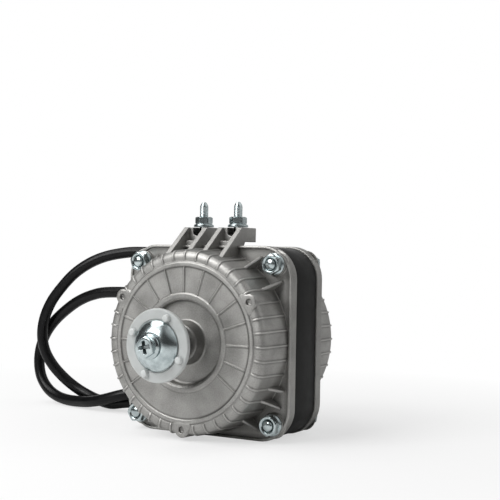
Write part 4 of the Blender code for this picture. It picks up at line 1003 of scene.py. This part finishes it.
@dataclass
class Platform:
    """The raised platform on the front shield: four sloped plates, two slotted decks, their front webs and ribs.

    top and under are heights above the shaft; front, rear and web_back are places along it.
    """

    top: float = SIDE / 2 + 0.0080
    under: float = SIDE / 2 + 0.0017
    front: float = 0.0030
    rear: float = 0.0154
    slope: float = 0.80
    plate: float = 0.0024
    slots: tuple[float, float] = (-0.0090, 0.0090)
    channel: float = 0.0076
    slot_w: float = 0.0043
    mouth: float = 0.0012
    deck: float = 0.0027
    notch: float = 0.0038
    web_back: float = 0.00545
    rib: float = 0.0008
    drum_r: float = ShieldSizes.drum_r
    wall: float = 0.0028
    flange: float = ShieldSizes.plate
    head_room: float = 0.0033
    edge: float = 0.00025

    def build(self, workshop: Workshop) -> None:
        """Makes the platform with softened edges.

        Args:
            workshop: where the piece is dressed.
        """
        skins = [skin for slot in self.slots for skin in self.plates(slot)]
        skins += [skin for slot in self.slots for skin in self.decks(slot)]
        skins += [skin for slot in self.slots for skin in self.web(slot)]
        platform = built("bracket_platform", joined(skins), 30.0)
        soften(platform, self.edge)
        workshop.fit(platform, "cast_aluminium", "front_shield")

    def foot(self, outer: float) -> float:
        """The height inside the drum's wall where a plate so far from the middle stands."""
        return math.sqrt((self.drum_r - self.wall / 2) ** 2 - outer ** 2)

    def plates(self, slot: float) -> list[Shell]:
        """The plates on both sides of a slot, from (y, z) outlines carried along X.

        Args:
            slot: the slot's place across.

        Returns:
            The skins.
        """
        skins = []
        half = self.channel / 2
        for low, high in ((slot - half - self.plate, slot - half), (slot + half, slot + half + self.plate)):
            foot = self.foot(max(abs(low), abs(high)))
            toe = self.front - (self.top - foot) / self.slope
            outline = np.array([(toe, foot), (self.front, self.top), (self.rear, self.top), (self.rear, self.under),
                                (self.flange + 0.0015, self.under), (self.flange - 0.0004, SIDE / 2 - 0.0012),
                                (self.flange - 0.0004, foot)])
            skins.append(carried(outline, low, high, Across.X))
        return skins

    def decks(self, slot: float) -> list[Shell]:
        """The decks beside a slot behind the web, and the ledge below it.

        Args:
            slot: the slot's place across.

        Returns:
            The skins.
        """
        low = self.top - self.deck
        near = self.front + self.mouth
        back = self.web_back - 0.0004
        reach = self.channel / 2 + 0.0004
        deck = np.array([(back, low), (back, self.top), (self.rear, self.top), (self.rear, low)])
        skins = []
        for way in (-1, 1):
            edges = sorted((slot + way * self.slot_w / 2, slot + way * reach))
            skins.append(carried(deck, *edges, Across.X))
        ledge = low - self.head_room
        base = self.drum_r - self.wall
        outline = np.array([(0.0004, base), (0.0004, ledge), (near + 0.0002, ledge), (near + 0.0002, base)])
        return skins + [carried(outline, slot - reach, slot + reach, Across.X)]

    def web(self, slot: float) -> list[Shell]:
        """The wall across a channel's front with the slot's round end in its top, and the thin rib before it.

        The slot's end is half an ellipse: x = half width x cos a, z = sides' foot - sag x sin a.

        Args:
            slot: the slot's place across.

        Returns:
            The skins.
        """
        near = self.front + self.mouth
        ledge = self.top - self.deck - self.head_room
        turn = np.linspace(0.0, math.pi, 15)
        bend = self.top - self.deck + 0.0002
        half = self.slot_w / 2
        side = self.channel / 2 + 0.0003
        end = np.stack([half * np.cos(turn), bend - (bend - self.top + self.notch) * np.sin(turn)], axis=-1)
        around = np.array([(side, ledge - 0.0002), (side, self.top), (half, self.top)])
        outline = np.concatenate([around, end, around[::-1] * (-1, 1)]) + (slot, 0.0)
        foot = self.foot(abs(slot) + self.rib / 2)
        high = self.top - self.notch - self.rib
        edge = np.array([(near + 0.0001, high), (near - (high - foot) / self.slope, foot), (near + 0.0001, foot)])
        return [carried(outline, near, self.web_back, Across.Y),
                carried(edge, slot - self.rib / 2, slot + self.rib / 2, Across.X)]


@dataclass
class HexHead:
    """A hexagon on a washer flange: a flange nut, a bolt head or a screw head."""

    across_flats: float = 0.0080
    flange_r: float = 0.0048
    flange_t: float = 0.0010
    height: float = 0.0044
    bore: float = 0.0
    corner_share: float = 1.135
    chamfer_share: float = 0.95
    chamfer_slope: float = 1.9
    flat_share: float = 0.80

    def flat_r(self) -> float:
        """The radius of the flat on top."""
        return self.across_flats / 2 * self.flat_share

    def skin(self, closed: bool = True) -> Shell:
        """The head standing up from height 0 round the Y axis.

        The radius at each height is the least of a hexagon, apothem / cos(angle from the nearest flat's middle), of
        the corners' round, corner_share x apothem, and of the chamfer's cone, which starts at chamfer_share x apothem
        at the top and widens by chamfer_slope x the way down. flat_share is the flat's part of the apothem.

        Args:
            closed: a head without a bore has its flat on top.

        Returns:
            The head's skin.
        """
        apothem = self.across_flats / 2
        shoulder = self.flange_t + 0.0006
        angle = np.linspace(0.0, math.tau, HEAD_COLUMNS, endpoint=False)
        fold = np.abs((angle + math.pi / 6) % (math.pi / 3) - math.pi / 6)
        hexagon = np.minimum(apothem / np.cos(fold), apothem * self.corner_share)
        foot = rounded([(self.bore, 0.0, 0), (self.flange_r, 0.0, 0.0002),
                        (self.flange_r, self.flange_t * 0.9, 0.0004), (apothem * 1.02, shoulder, 0.0003),
                        (apothem * 1.16, shoulder + 0.0001, 0)], 4)
        foot_r = foot[:, :1] + np.zeros(HEAD_COLUMNS)
        foot_r[-1] = np.minimum(foot_r[-1], hexagon)
        body = np.linspace(shoulder + 0.0001, self.height, 15)
        cone = apothem * self.chamfer_share + (self.height - body) * self.chamfer_slope
        body_r = np.minimum(hexagon, cone[:, None])
        top = [(apothem * 0.93, self.height), (self.flat_r(), self.height + 0.00005)]
        if self.bore:
            top += [(self.bore + 0.0004, self.height), (self.bore, self.height - 0.0004), (self.bore, 0.0)]
        elif closed:
            top += [(0.0, self.height)]
        top = np.array(top)
        radius = np.concatenate([foot_r, body_r, top[:, :1] + np.zeros(HEAD_COLUMNS)])
        height = np.concatenate([foot[:, 1], body, top[:, 1]])[:, None]
        return woven(about_y(radius, height, angle))


@dataclass
class CrossRecess:
    """The top of a screw head with a cross-shaped recess."""

    radius: float
    height: float
    arm: float = 0.0029
    half_width: float = 0.0006
    edge: float = 0.00018
    depth: float = 0.0020

    def skin(self) -> Shell:
        """A disc whose height drops by depth x (inside either arm), the arms narrowing towards the bottom, with painted
        shade in the recess.
        """
        radius = np.linspace(0.0, self.radius, 34)[:, None]
        angle = np.linspace(0.0, math.tau, HEAD_COLUMNS, endpoint=False)
        grid = about_y(radius, self.height, angle)
        across = np.sort(np.abs(grid[..., [0, 2]]), axis=-1)
        inside = 1.0 - smoothstep(across[..., 0], self.half_width, self.half_width + self.edge)
        inside = inside * (1.0 - smoothstep(across[..., 1], self.arm * 0.55, self.arm))
        grid[..., 1] -= self.depth * inside
        return woven(grid, light_and_wear=-0.6 * inside)


@dataclass
class Thread:
    """A threaded rod end with a chamfered tip."""

    radius: float
    pitch: float
    point: float = 0.0008
    point_r: float = 0.72
    cut: float = 0.34
    columns: int = 32
    rows_per_turn: int = 8

    def skin(self, start: float, end: float) -> Shell:
        """The rod round the Y axis: radius less cut x pitch x a triangle wave of (height / pitch - angle / turn).

        Over the point's length the radius falls to its share at the tip as 1 - (1 - share) x (way into the point)^2.

        Args:
            start: the height of the rod's foot.
            end: the height of its tip.

        Returns:
            The rod, closed at both ends.
        """
        rows = int((end - start) / self.pitch * self.rows_per_turn)
        height = np.linspace(start, end, rows)[:, None]
        angle = np.linspace(0.0, math.tau, self.columns, endpoint=False)
        phase = (height / self.pitch - angle / math.tau) % 1.0
        groove = self.cut * self.pitch * np.abs(2.0 * phase - 1.0)
        into = np.clip(1.0 - (end - height) / self.point, 0.0, 1.0)
        radius = np.minimum(self.radius - groove, self.radius * (1.0 - (1.0 - self.point_r) * into ** 2))
        height = np.concatenate([height[:1], height, height[-1:]])
        return woven(about_y(np.pad(radius, ((1, 1), (0, 0))), height, angle))


@dataclass
class Fasteners:
    """Through bolts with flange nuts, and the two slot bolts with theirs."""

    workshop: Workshop
    spread: float = ShieldSizes.bolt_spread
    pad: float = ShieldSizes.pad_h
    bolt_r: float = 0.0024
    turn_each: float = -17.0
    slots: tuple[float, float] = Platform.slots
    deck: float = Platform.deck
    deck_top: float = AXIS_Z + Platform.top
    stud_r: float = 0.00195
    stud_y: float = 0.0098
    stud_tip: float = 0.1036

    def build(self) -> None:
        """Makes all twelve and fits them."""
        for number, (i, k) in enumerate(((1, 1), (-1, 1), (-1, -1), (1, -1)), 1):
            self.corner(number, i * self.spread, AXIS_Z + k * self.spread)
        for number, x in enumerate(self.slots, 1):
            self.slot(number, x)

    def corner(self, number: int, x: float, z: float) -> None:
        """A through bolt with its head on the rear flange and its nut on the front one.

        Args:
            number: the corner's number, which also turns both hexagons.
            x: the bolt's place across.
            z: its height.
        """
        turn = self.turn_each * (number - 1)
        nut = HexHead(bore=self.bolt_r + FIT)
        seat = (x, FRONT_FACE - self.pad - FIT, z)
        skin = nut.skin().turned("Z", 180).turned("Y", turn).moved(seat)
        self.workshop.make(f"corner_nut_{number}", skin, "zinc_plate", f"flange_nut_{number}")
        rod = Thread(self.bolt_r, pitch=0.0008, point=0.0009, point_r=0.76, cut=0.22)
        tip = rod.skin(-0.0010, nut.height + 0.0004).turned("Z", 180).moved(seat)
        head = HexHead().skin().turned("Y", turn).moved((x, REAR_FACE + self.pad + FIT, z))
        self.workshop.make(f"corner_bolt_{number}", joined([head, tip]), "zinc_plate", f"through_bolt_{number}")

    def slot(self, number: int, x: float) -> None:
        """A bolt with its head in the slot under the decks and its nut on top; what stands in the slot is painted dark
        as shade.

        Args:
            number: the slot's number.
            x: its place across.
        """
        low = self.deck_top - self.deck - FIT
        rod = Thread(self.stud_r, pitch=0.0007, point=0.0026, point_r=0.40, cut=0.16).skin(0.0, self.stud_tip - low)
        # Painted shade on the rod up to the deck's top and on the whole head under the deck.
        rod.light_and_wear = -1.0 * (rod.points[:, 1] < self.deck + 0.0001)
        head = HexHead(across_flats=0.0070, flange_r=0.0036, flange_t=0.0004, height=0.0027)
        foot = head.skin().turned("Y", 30).moved((0.0, -head.height, 0.0))
        foot.light_and_wear = foot.light_and_wear - 1.0
        bolt = joined([rod, foot]).turned("X", 90).moved((x, self.stud_y, low))
        self.workshop.make(f"bracket_bolt_{number}", bolt, "zinc_plate", f"slot_bolt_{number}")
        nut = HexHead(across_flats=0.0070, flange_r=0.0046, flange_t=0.0010, height=0.0046, bore=self.stud_r + FIT)
        skin = nut.skin().turned("X", 90).moved((x, self.stud_y, self.deck_top + FIT))
        self.workshop.make(f"bracket_nut_{number}", skin, "zinc_plate", f"slot_nut_{number}")


@dataclass
class FanHub:
    """The nylon hub with its disc and pegs, the domed washer and the screw.

    face is the disc's front, and places along the shaft are counted from it: the hub reaches back, the rest forward.
    """

    workshop: Workshop
    face: float = -0.0394
    seat_sink: float = 0.0003
    length: float = 0.0148
    disc_r: float = 0.0154
    disc_t: float = 0.0022
    barrel_r: float = 0.0052
    dome_r: float = 0.0107
    dome_h: float = 0.0047
    dome_rim: float = 0.0011
    crown_r: float = 0.0050
    crown_t: float = 0.0010
    hole_r: float = 0.0023
    peg_r: float = 0.0016
    peg_h: float = 0.0018
    peg_circle_r: float = 0.01265
    peg_angle: float = 66.0
    shaft_r: float = 0.0030
    shank_r: float = 0.0020
    shank_length: float = 0.0140

    def build(self) -> None:
        """Makes the hub, the washer and the screw."""
        for name, skin, slot, node, sharp in (("fan_hub", self.hub(), "white_nylon", "hub", 60.0),
                                              ("clamp_washer", self.dome(), "zinc_plate", "hub_washer", 60.0),
                                              ("clamp_screw", self.screw(), "zinc_plate", "hub_screw", 40.0)):
            self.workshop.make(name, skin.moved(SHAFT), slot, node, body=Body.ROTOR, sharp=sharp)

    def hub(self) -> Shell:
        """Disc and barrel turned from one rounded profile, and four domed pegs."""
        back = self.face + self.disc_t
        seat = self.face + self.seat_sink
        end = self.face + self.length
        bore = self.shaft_r + FIT
        profile = rounded([(bore, seat, 0), (self.dome_r + FIT, seat, 0.0001),
                           (self.dome_r + 1.5 * FIT, self.face, 0.0001), (self.disc_r, self.face, 0.0006),
                           (self.disc_r, back, 0.0006), (self.barrel_r + 0.0004, back, 0.0014),
                           (self.barrel_r - 0.0001, end, 0.0004), (bore, end, 0)], 6)
        tip = self.face - self.peg_h
        # The pegs carry a painted highlight.
        peg = turned_skin(rounded([(self.peg_r + 0.0003, self.face + 0.0004, 0),
                                   (self.peg_r, self.face - 0.0001, 0.0003), (self.peg_r * 0.92, tip, 0.0006),
                                   (0.0, tip, 0)], 5), 32, 0.35)
        pegs = [peg.moved(on_circle(self.peg_circle_r, self.peg_angle + 90.0 * i)) for i in range(4)]
        return joined([turned_skin(profile, 128, wrap=True)] + pegs)

    def dome(self) -> Shell:
        """The washer: a rolled rim, then a crown that rises as sin(way in^0.9 x quarter turn) to the screw's flat."""
        seat = self.face + self.seat_sink - FIT
        crown = seat - self.dome_h
        rise = seat - self.dome_rim
        start = self.dome_r - 0.0003
        share = np.linspace(0.0, 1.0, 24)
        outer = np.stack([start + (self.crown_r - start) * share,
                          rise + (crown - rise) * np.sin(math.pi / 2 * share ** 0.9)], axis=-1)
        rim = rounded([(self.dome_r - 0.0012, seat, 0), (self.dome_r, seat, 0.0003),
                       (self.dome_r, seat - 0.0006, 0.0005), (start, rise, 0)], 5)
        inner = crown + self.crown_t
        hole = np.array([(self.hole_r, crown), (self.hole_r, inner), (self.crown_r + 0.0002, inner)])
        return turned_skin(np.concatenate([rim, outer, hole]), 128, wrap=True)

    def screw(self) -> Shell:
        """A flanged hexagon head with a cross recess in place of its flat, and its shank."""
        head = HexHead(across_flats=0.0080, flange_r=0.0053, flange_t=0.0010, height=0.0037)
        cross = CrossRecess(head.flat_r(), head.height).skin().turned("Y", 12)
        shank = Thread(self.shank_r, pitch=0.0007).skin(-self.shank_length, 0.0004)
        seat = (0.0, self.face - self.dome_h - FIT, 0.0)
        return joined([head.skin(closed=False), cross, shank]).turned("Z", 180).moved(seat)


@dataclass
class Stack:
    """The black lamination stack between the flanges."""

    inset: float = 0.0006
    start: float = 0.0048
    end: float = 0.0238
    hidden: float = 0.009

    def build(self, workshop: Workshop) -> None:
        """Carries the outline along the shaft with softened edges, as a closed band reaching in from the outline by
        hidden.

        Args:
            workshop: where the piece is dressed.
        """
        section = rounded([(self.hidden, self.start, 0), (self.inset, self.start, 0.0002),
                           (self.inset, self.end, 0.0002), (self.hidden, self.end, 0)], 3)
        flat = square_rows(section[:, 0])
        grid = np.stack(np.broadcast_arrays(flat[..., 0], section[:, 1:], flat[..., 1]), axis=-1)
        skin = woven(grid, wrap_rows=True).moved(SHAFT)
        workshop.make("lamination_stack", skin, "black_stack", "stator_stack")


LEAD_TURNS = (
    (-0.0202, 0.0000, 0.0566), (-0.0303, 0.0000, 0.0548), (-0.0397, 0.0003, 0.0512), (-0.0484, 0.0008, 0.0460),
    (-0.0559, 0.0011, 0.0401), (-0.0614, 0.0011, 0.0335), (-0.0646, 0.0008, 0.0260), (-0.0651, 0.0002, 0.0180),
    (-0.0627, -0.0006, 0.0104), (-0.0573, -0.0015, 0.0046), (-0.0501, -0.0025, 0.0013), (-0.0417, -0.0040, 0.0001),
    (-0.0322, -0.0062, 0.0003), (-0.0227, -0.0085, 0.0013), (-0.0137, -0.0095, 0.0033), (-0.0047, -0.0087, 0.0059),
    (0.0043, -0.0058, 0.0080), (0.0133, -0.0014, 0.0089), (0.0223, 0.0036, 0.0084), (0.0311, 0.0084, 0.0076),
    (0.0394, 0.0126, 0.0096), (0.0467, 0.0156, 0.0152), (0.0523, 0.0169, 0.0234), (0.0551, 0.0172, 0.0336),
    (0.0547, 0.0170, 0.0444), (0.0509, 0.0167, 0.0549), (0.0437, 0.0161, 0.0640), (0.0333, 0.0149, 0.0706),
    (0.0207, 0.0131, 0.0748), (0.0070, 0.0110, 0.0770),
    (-0.0077, 0.0084, 0.0775), (-0.0163, 0.0065, 0.0768), (-0.0251, 0.0036, 0.0748), (-0.0332, 0.0009, 0.0712),
    (-0.0411, -0.0014, 0.0656), (-0.0479, -0.0032, 0.0583), (-0.0536, -0.0045, 0.0505), (-0.0572, -0.0054, 0.0418),
    (-0.0583, -0.0056, 0.0331), (-0.0569, -0.0049, 0.0249), (-0.0531, -0.0028, 0.0173), (-0.0475, 0.0000, 0.0106),
    (-0.0407, 0.0020, 0.0056), (-0.0328, 0.0027, 0.0022), (-0.0240, 0.0013, 0.0004), (-0.0152, -0.0013, 0.0001),
    (-0.0067, -0.0026, 0.0014), (0.0015, -0.0019, 0.0023), (0.0093, 0.0014, 0.0018), (0.0159, 0.0068, 0.0004),
    (0.0218, 0.0130, 0.0000),
)


@dataclass
class GlandSeat:
    """Where the lead's gland sits, on a boss that stands out from the rear drum's left side."""

    along: float = 0.0380
    rise: float = 0.0180
    reach: float = 0.0418
    bore_r: float = 0.0049
    bore_foot: float = 0.0300
    boss_r: float = 0.0070
    boss_foot: float = 0.0330
    draft: float = 0.0004

    def placed(self, skin: Shell) -> Shell:
        """A skin in distances from the shaft, laid from +Y to stand out to the left at the seat."""
        return skin.turned("Z", 90).moved((0.0, self.along, AXIS_Z + self.rise))

    def boss(self) -> Shell:
        """The round boss that holds the gland."""
        profile = rounded([(self.bore_r, self.bore_foot, 0), (self.bore_r, self.reach, 0.0003),
                           (self.boss_r, self.reach, 0.0006), (self.boss_r + self.draft, self.boss_foot, 0)], 5)
        return self.placed(turned_skin(profile, 48))


@dataclass
class SupplyLead:
    """The black supply lead, its gland with the ribbed tail, and the three stripped cores at its far end."""

    workshop: Workshop
    seat: GlandSeat = field(default_factory=GlandSeat)
    radius: float = 0.0028
    flange_r: float = 0.0064
    flange_t: float = 0.0020
    plug: float = 0.0070
    neck_r: float = 0.0046
    tail_r: float = 0.0038
    tail_length: float = 0.0199
    groove: float = 0.0006
    grooves: int = 6
    core_r: float = 0.0009
    core_spread: float = 0.0038
    core_length: float = 0.0160
    ferrule_r: float = 0.0006
    ferrule_length: float = 0.0060

    def tail_end(self) -> float:
        """How far the gland's tail reaches from the shaft."""
        return self.seat.reach + FIT + self.flange_t + self.tail_length

    def route(self, steps: int = 360) -> Grid:
        """The lead's centreline: a Catmull-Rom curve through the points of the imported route.

        Args:
            steps: how many parts the curve has.

        Returns:
            The curve's points.
        """
        start = np.array([-self.tail_end() - FIT, self.seat.along, AXIS_Z + self.seat.rise])
        rest = np.array([start[0], self.seat.along, self.radius + FIT / 2])
        return through(np.concatenate([start[None, :], rest + np.array(LEAD_TURNS)]), steps)

    def build(self) -> None:
        way = self.route()
        lead = cord_curve("supply_lead", way, self.radius)
        self.workshop.fit(lead, "lead_sheath", "power_lead")
        self.workshop.make("lead_gland", self.gland(), "black_rubber", "cable_gland", sharp=50.0)
        ends = self.cores(way)

    def gland(self) -> Shell:
        """A flange against the boss and a tail that tapers onto the lead, ringed by bending grooves.

        The grooves are cut where sin(way along x grooves x turn) is above 0.2, between the tail's ends.
        """
        seat = self.seat.reach + FIT
        flange = seat + self.flange_t
        base = rounded([(0.0, seat - self.plug, 0), (self.neck_r, seat - self.plug, 0.0004),
                        (self.neck_r, seat, 0.0002), (self.flange_r, seat, 0.0003), (self.flange_r, flange, 0.0006),
                        (self.neck_r + 0.0006, flange, 0.0008)], 5)
        reach = np.linspace(flange + 0.0004, self.tail_end(), 90)
        share = (reach - reach[0]) / (reach[-1] - reach[0])
        neck = self.neck_r + 0.0004
        radius = neck + (self.tail_r - neck) * share
        ring = smoothstep(np.sin(share * self.grooves * math.tau), 0.2, 0.9) * (share > 0.04) * (share < 0.93)
        tail = np.stack([radius - self.groove * ring, reach], axis=-1)
        end = np.array([(self.radius + 0.0003, self.tail_end() + 0.0002), (0.0, self.tail_end() + 0.0002)])
        return self.seat.placed(turned_skin(np.concatenate([base, tail, end]), 48))

    def cores(self, way: Grid) -> list[Piece]:
        """Three cores that leave the sheath and spread, each with its ferrule.

        Args:
            way: the lead's centreline.

        Returns:
            The cores and the ferrules.
        """
        tip = way[-1]
        ahead = (way[-1] - way[-2]) * (1.0, 1.0, 0.0)
        ahead /= np.linalg.norm(ahead)
        across = np.cross(ahead, (0.0, 0.0, 1.0))
        drop = np.array([0.0, 0.0, self.core_r - tip[2] + FIT])
        made = []
        for name, side in (("brown", -1), ("blue", 0), ("earth", 1)):
            root = tip + ahead * FIT + across * (2 * self.core_r + FIT) * side
            out = across * self.core_spread * side
            line = through(np.array([root, root + ahead * self.core_length * 0.3,
                                     tip + ahead * self.core_length * 0.65 + out * 0.85 + drop * 0.94,
                                     tip + ahead * self.core_length + out + drop]), 24)
            core = cord_curve(f"{name}_wire", line, self.core_r)
            made.append(self.workshop.fit(core, f"{name}_insulation", f"{name}_core"))
            run = (line[-1] - line[-2]) / np.linalg.norm(line[-1] - line[-2])
            sleeve = np.array([line[-1] + run * FIT, line[-1] + run * (FIT + self.ferrule_length)])
            pin = cord_curve(f"{name}_pin", sleeve, self.ferrule_r)
            made.append(self.workshop.fit(pin, "zinc_plate", f"{name}_ferrule"))
        return made


def through(points: Grid, steps: int) -> Grid:
    """Evenly many points along a Catmull-Rom curve through the given ones.

    Args:
        points: points x 3.
        steps: how many parts the curve has.

    Returns:
        The curve's points: with p before, a, b and after, and t from 0 to 1,
        0.5 (2a + (b - p)t + (2p - 5a + 4b - after)t^2 + (3a - p - 3b + after)t^3).
    """
    ends = np.concatenate([[2 * points[0] - points[1]], points, [2 * points[-1] - points[-2]]])
    spans = len(points) - 1
    at = spans * np.arange(steps + 1) / steps
    span = np.minimum(at.astype(int), spans - 1)
    t = (at - span)[:, None]
    a, b, c, d = (ends[span + k] for k in range(4))
    return 0.5 * (2 * b + (c - a) * t + (2 * a - 5 * b + 4 * c - d) * t ** 2 + (3 * b - a - 3 * c + d) * t ** 3)


def cord_curve(name: str, way: Grid, radius: float) -> Piece:
    """A round cord as one open spline with closed ends.

    Args:
        name: the piece's name.
        way: its centreline.
        radius: its radius.

    Returns:
        The curve object.
    """
    curve = bpy.data.curves.new(name, "CURVE")
    curve.dimensions = "3D"
    curve.bevel_depth = radius
    curve.bevel_resolution = 6
    curve.use_fill_caps = True
    spline = curve.splines.new("POLY")
    spline.points.add(len(way) - 1)
    spline.points.foreach_set("co", np.concatenate([way, np.ones((len(way), 1))], axis=1).reshape(-1))
    spline.use_smooth = True
    return linked(name, curve)


@dataclass
class Housing:
    """Both shields, the platform on the front one, the gland's boss on the rear one, and the stack between them."""

    workshop: Workshop

    def build(self) -> None:
        """Makes the shields, the platform and the stack."""
        front = Shield(Facing.FRONT, FRONT_FACE)
        self.workshop.make("front_casting", joined(front.skins()), "cast_aluminium", "front_shield")
        Platform().build(self.workshop)
        rear = Shield(Facing.REAR, REAR_FACE, ShieldSizes(
            plate=0.0041, depth=0.0188, nose_length=0.0022, nose_bore_r=0.0, side_fin_angles=(), lug_angles=(),
            face_rib_angles=tuple(range(0, 360, 18))))
        skins = rear.skins() + [GlandSeat().boss()]
        self.workshop.make("rear_casting", joined(skins), "cast_aluminium", "rear_shield")
        Stack().build(self.workshop)


@dataclass(frozen=True)
class Studio:
    """Camera, floor, lights and background.

    A soft box of the room is (the way to its middle, its light, the cosine at its edge), and a lamp (name, place,
    side, power). box_core and backdrop are cosines too.
    """

    eye: tuple[float, float, float] = (0.24985, -0.39973, 0.08010)
    forward: tuple[float, float, float] = (-0.4968391, 0.8678313, 0.0044429)
    up: tuple[float, float, float] = (-0.0129163, -0.0125133, 0.9998383)
    lens: float = 76.5432
    room: float = 0.05
    boxes: tuple[tuple, ...] = (((0.633, 0.112, 0.766), 0.7, 0.70), ((0.483, 0.837, 0.259), 0.42, 0.55),
                                ((-0.302, -0.568, 0.766), 1.4, 0.93))
    lamps: tuple[tuple, ...] = (("key", (-0.28, -0.57, 0.47), 0.4, 3.8), ("top", (-0.20, -0.05, 0.52), 0.3, 0.9))
    box_core: float = 0.95
    backdrop: tuple[float, float] = (0.75, 0.95)
    aim: tuple[float, float, float] = (0.0, 0.0, 0.04)
    floor_reach: float = 6.0

    def build(self) -> None:
        """Sets up everything round the object."""
        self.camera()
        self.floor()
        self.world()
        for lamp in self.lamps:
            self.lamp(*lamp)
        bpy.context.scene.view_settings.view_transform = "Standard"

    def camera(self) -> None:
        """The camera: its back is -forward, its right is forward x up."""
        data = bpy.data.cameras.new("camera")
        data.lens = self.lens
        data.sensor_width = 36.0
        data.clip_start = 0.01
        made = linked("camera", data)
        forward, up = Vector(self.forward), Vector(self.up)
        turn = Matrix((forward.cross(up).normalized(), up, -forward)).transposed()
        made.matrix_world = Matrix.Translation(self.eye) @ turn.to_4x4()
        bpy.context.scene.camera = made

    def floor(self) -> None:
        """A pale floor that fades to plain white away from the object."""
        reach = self.floor_reach
        corners = np.array([[(x, y, 0.0) for x in (-reach, reach)] for y in (-reach, reach)])
        made = built("studio_floor", woven(corners, wrap_columns=False))
        made.data.materials.append(WhitePaper().material())

    def world(self) -> None:
        """A dim even room with three soft boxes, and a white backdrop behind the object.

        A box's light rises with the cosine between a direction and the box's middle. The camera sees plain white
        everywhere, and so do gloss and glass where the backdrop stands.
        """
        world = bpy.data.worlds.new("studio")
        bpy.context.scene.world = world
        world.use_nodes = True
        tree = world.node_tree
        tree.nodes.clear()
        where = add(tree, "TexCoord", out="Generated")
        light = self.room
        for toward, level, edge in self.boxes:
            near = add(tree, "VectorMath", {0: where, 1: toward}, "Value", operation="DOT_PRODUCT")
            box = add(tree, "MapRange", {"Value": near, "From Min": edge, "From Max": self.box_core, "To Max": level})
            light = add(tree, "Math", {0: light, 1: box}, operation="ADD")
        camera, gloss, glass = (add(tree, "LightPath", out=f"Is {ray} Ray") for ray in
                                ("Camera", "Glossy", "Transmission"))
        clear = add(tree, "Math", {0: gloss, 1: glass}, operation="MAXIMUM")
        ahead = add(tree, "VectorMath", {0: where, 1: self.forward}, "Value", operation="DOT_PRODUCT")
        start, full = self.backdrop
        behind = add(tree, "MapRange", {"Value": ahead, "From Min": start, "From Max": full})
        shown = add(tree, "Math", {0: clear, 1: behind}, operation="MULTIPLY")
        seen = add(tree, "Math", {0: shown, 1: camera}, operation="MAXIMUM")
        soft = add(tree, "Background", {"Color": light, "Strength": 1.0})
        white = add(tree, "Background", {"Color": (1, 1, 1, 1), "Strength": 1.0})
        add(tree, "OutputWorld", {"Surface": add(tree, "MixShader", {0: seen, 1: soft, 2: white})})

    def lamp(self, name: str, place: tuple[float, float, float], size: float, power: float) -> None:
        """A square soft box that looks at the motor.

        Args:
            name: the lamp's name.
            place: where it hangs.
            size: its side.
            power: its light in watts.
        """
        data = bpy.data.lights.new(name, "AREA")
        data.shape = "SQUARE"
        data.size = size
        data.energy = power
        made = linked(name, data)
        made.location = place
        made.rotation_euler = (Vector(self.aim) - Vector(place)).to_track_quat("-Z", "Y").to_euler()


def dress_inner_nodes(finishes: Finishes) -> None:
    """Gives each CAD node its slot's finish; those that pieces stand for are hidden anyway.

    Args:
        finishes: the materials by slot.
    """
    slots = {row["node"]: row["material_slot"] for row in frame["record"]["subparts"]}
    for name, node in frame["nodes"].items():
        node.data.materials.clear()
        node.data.materials.append(finishes.by_slot[slots[name]])
        LOG.info("%s: %s", name, slots[name])


def main() -> None:
    """Builds every sub-assembly in order."""
    logging.basicConfig(level=logging.INFO, format="%(name)s %(message)s")
    finishes = Finishes()
    dress_inner_nodes(finishes)
    workshop = Workshop(finishes)
    Studio().build()
    SupplyLead(workshop).build()
    Housing(workshop).build()
    Fasteners(workshop).build()
    FanHub(workshop).build()


if __name__ == "__main__":
    main()
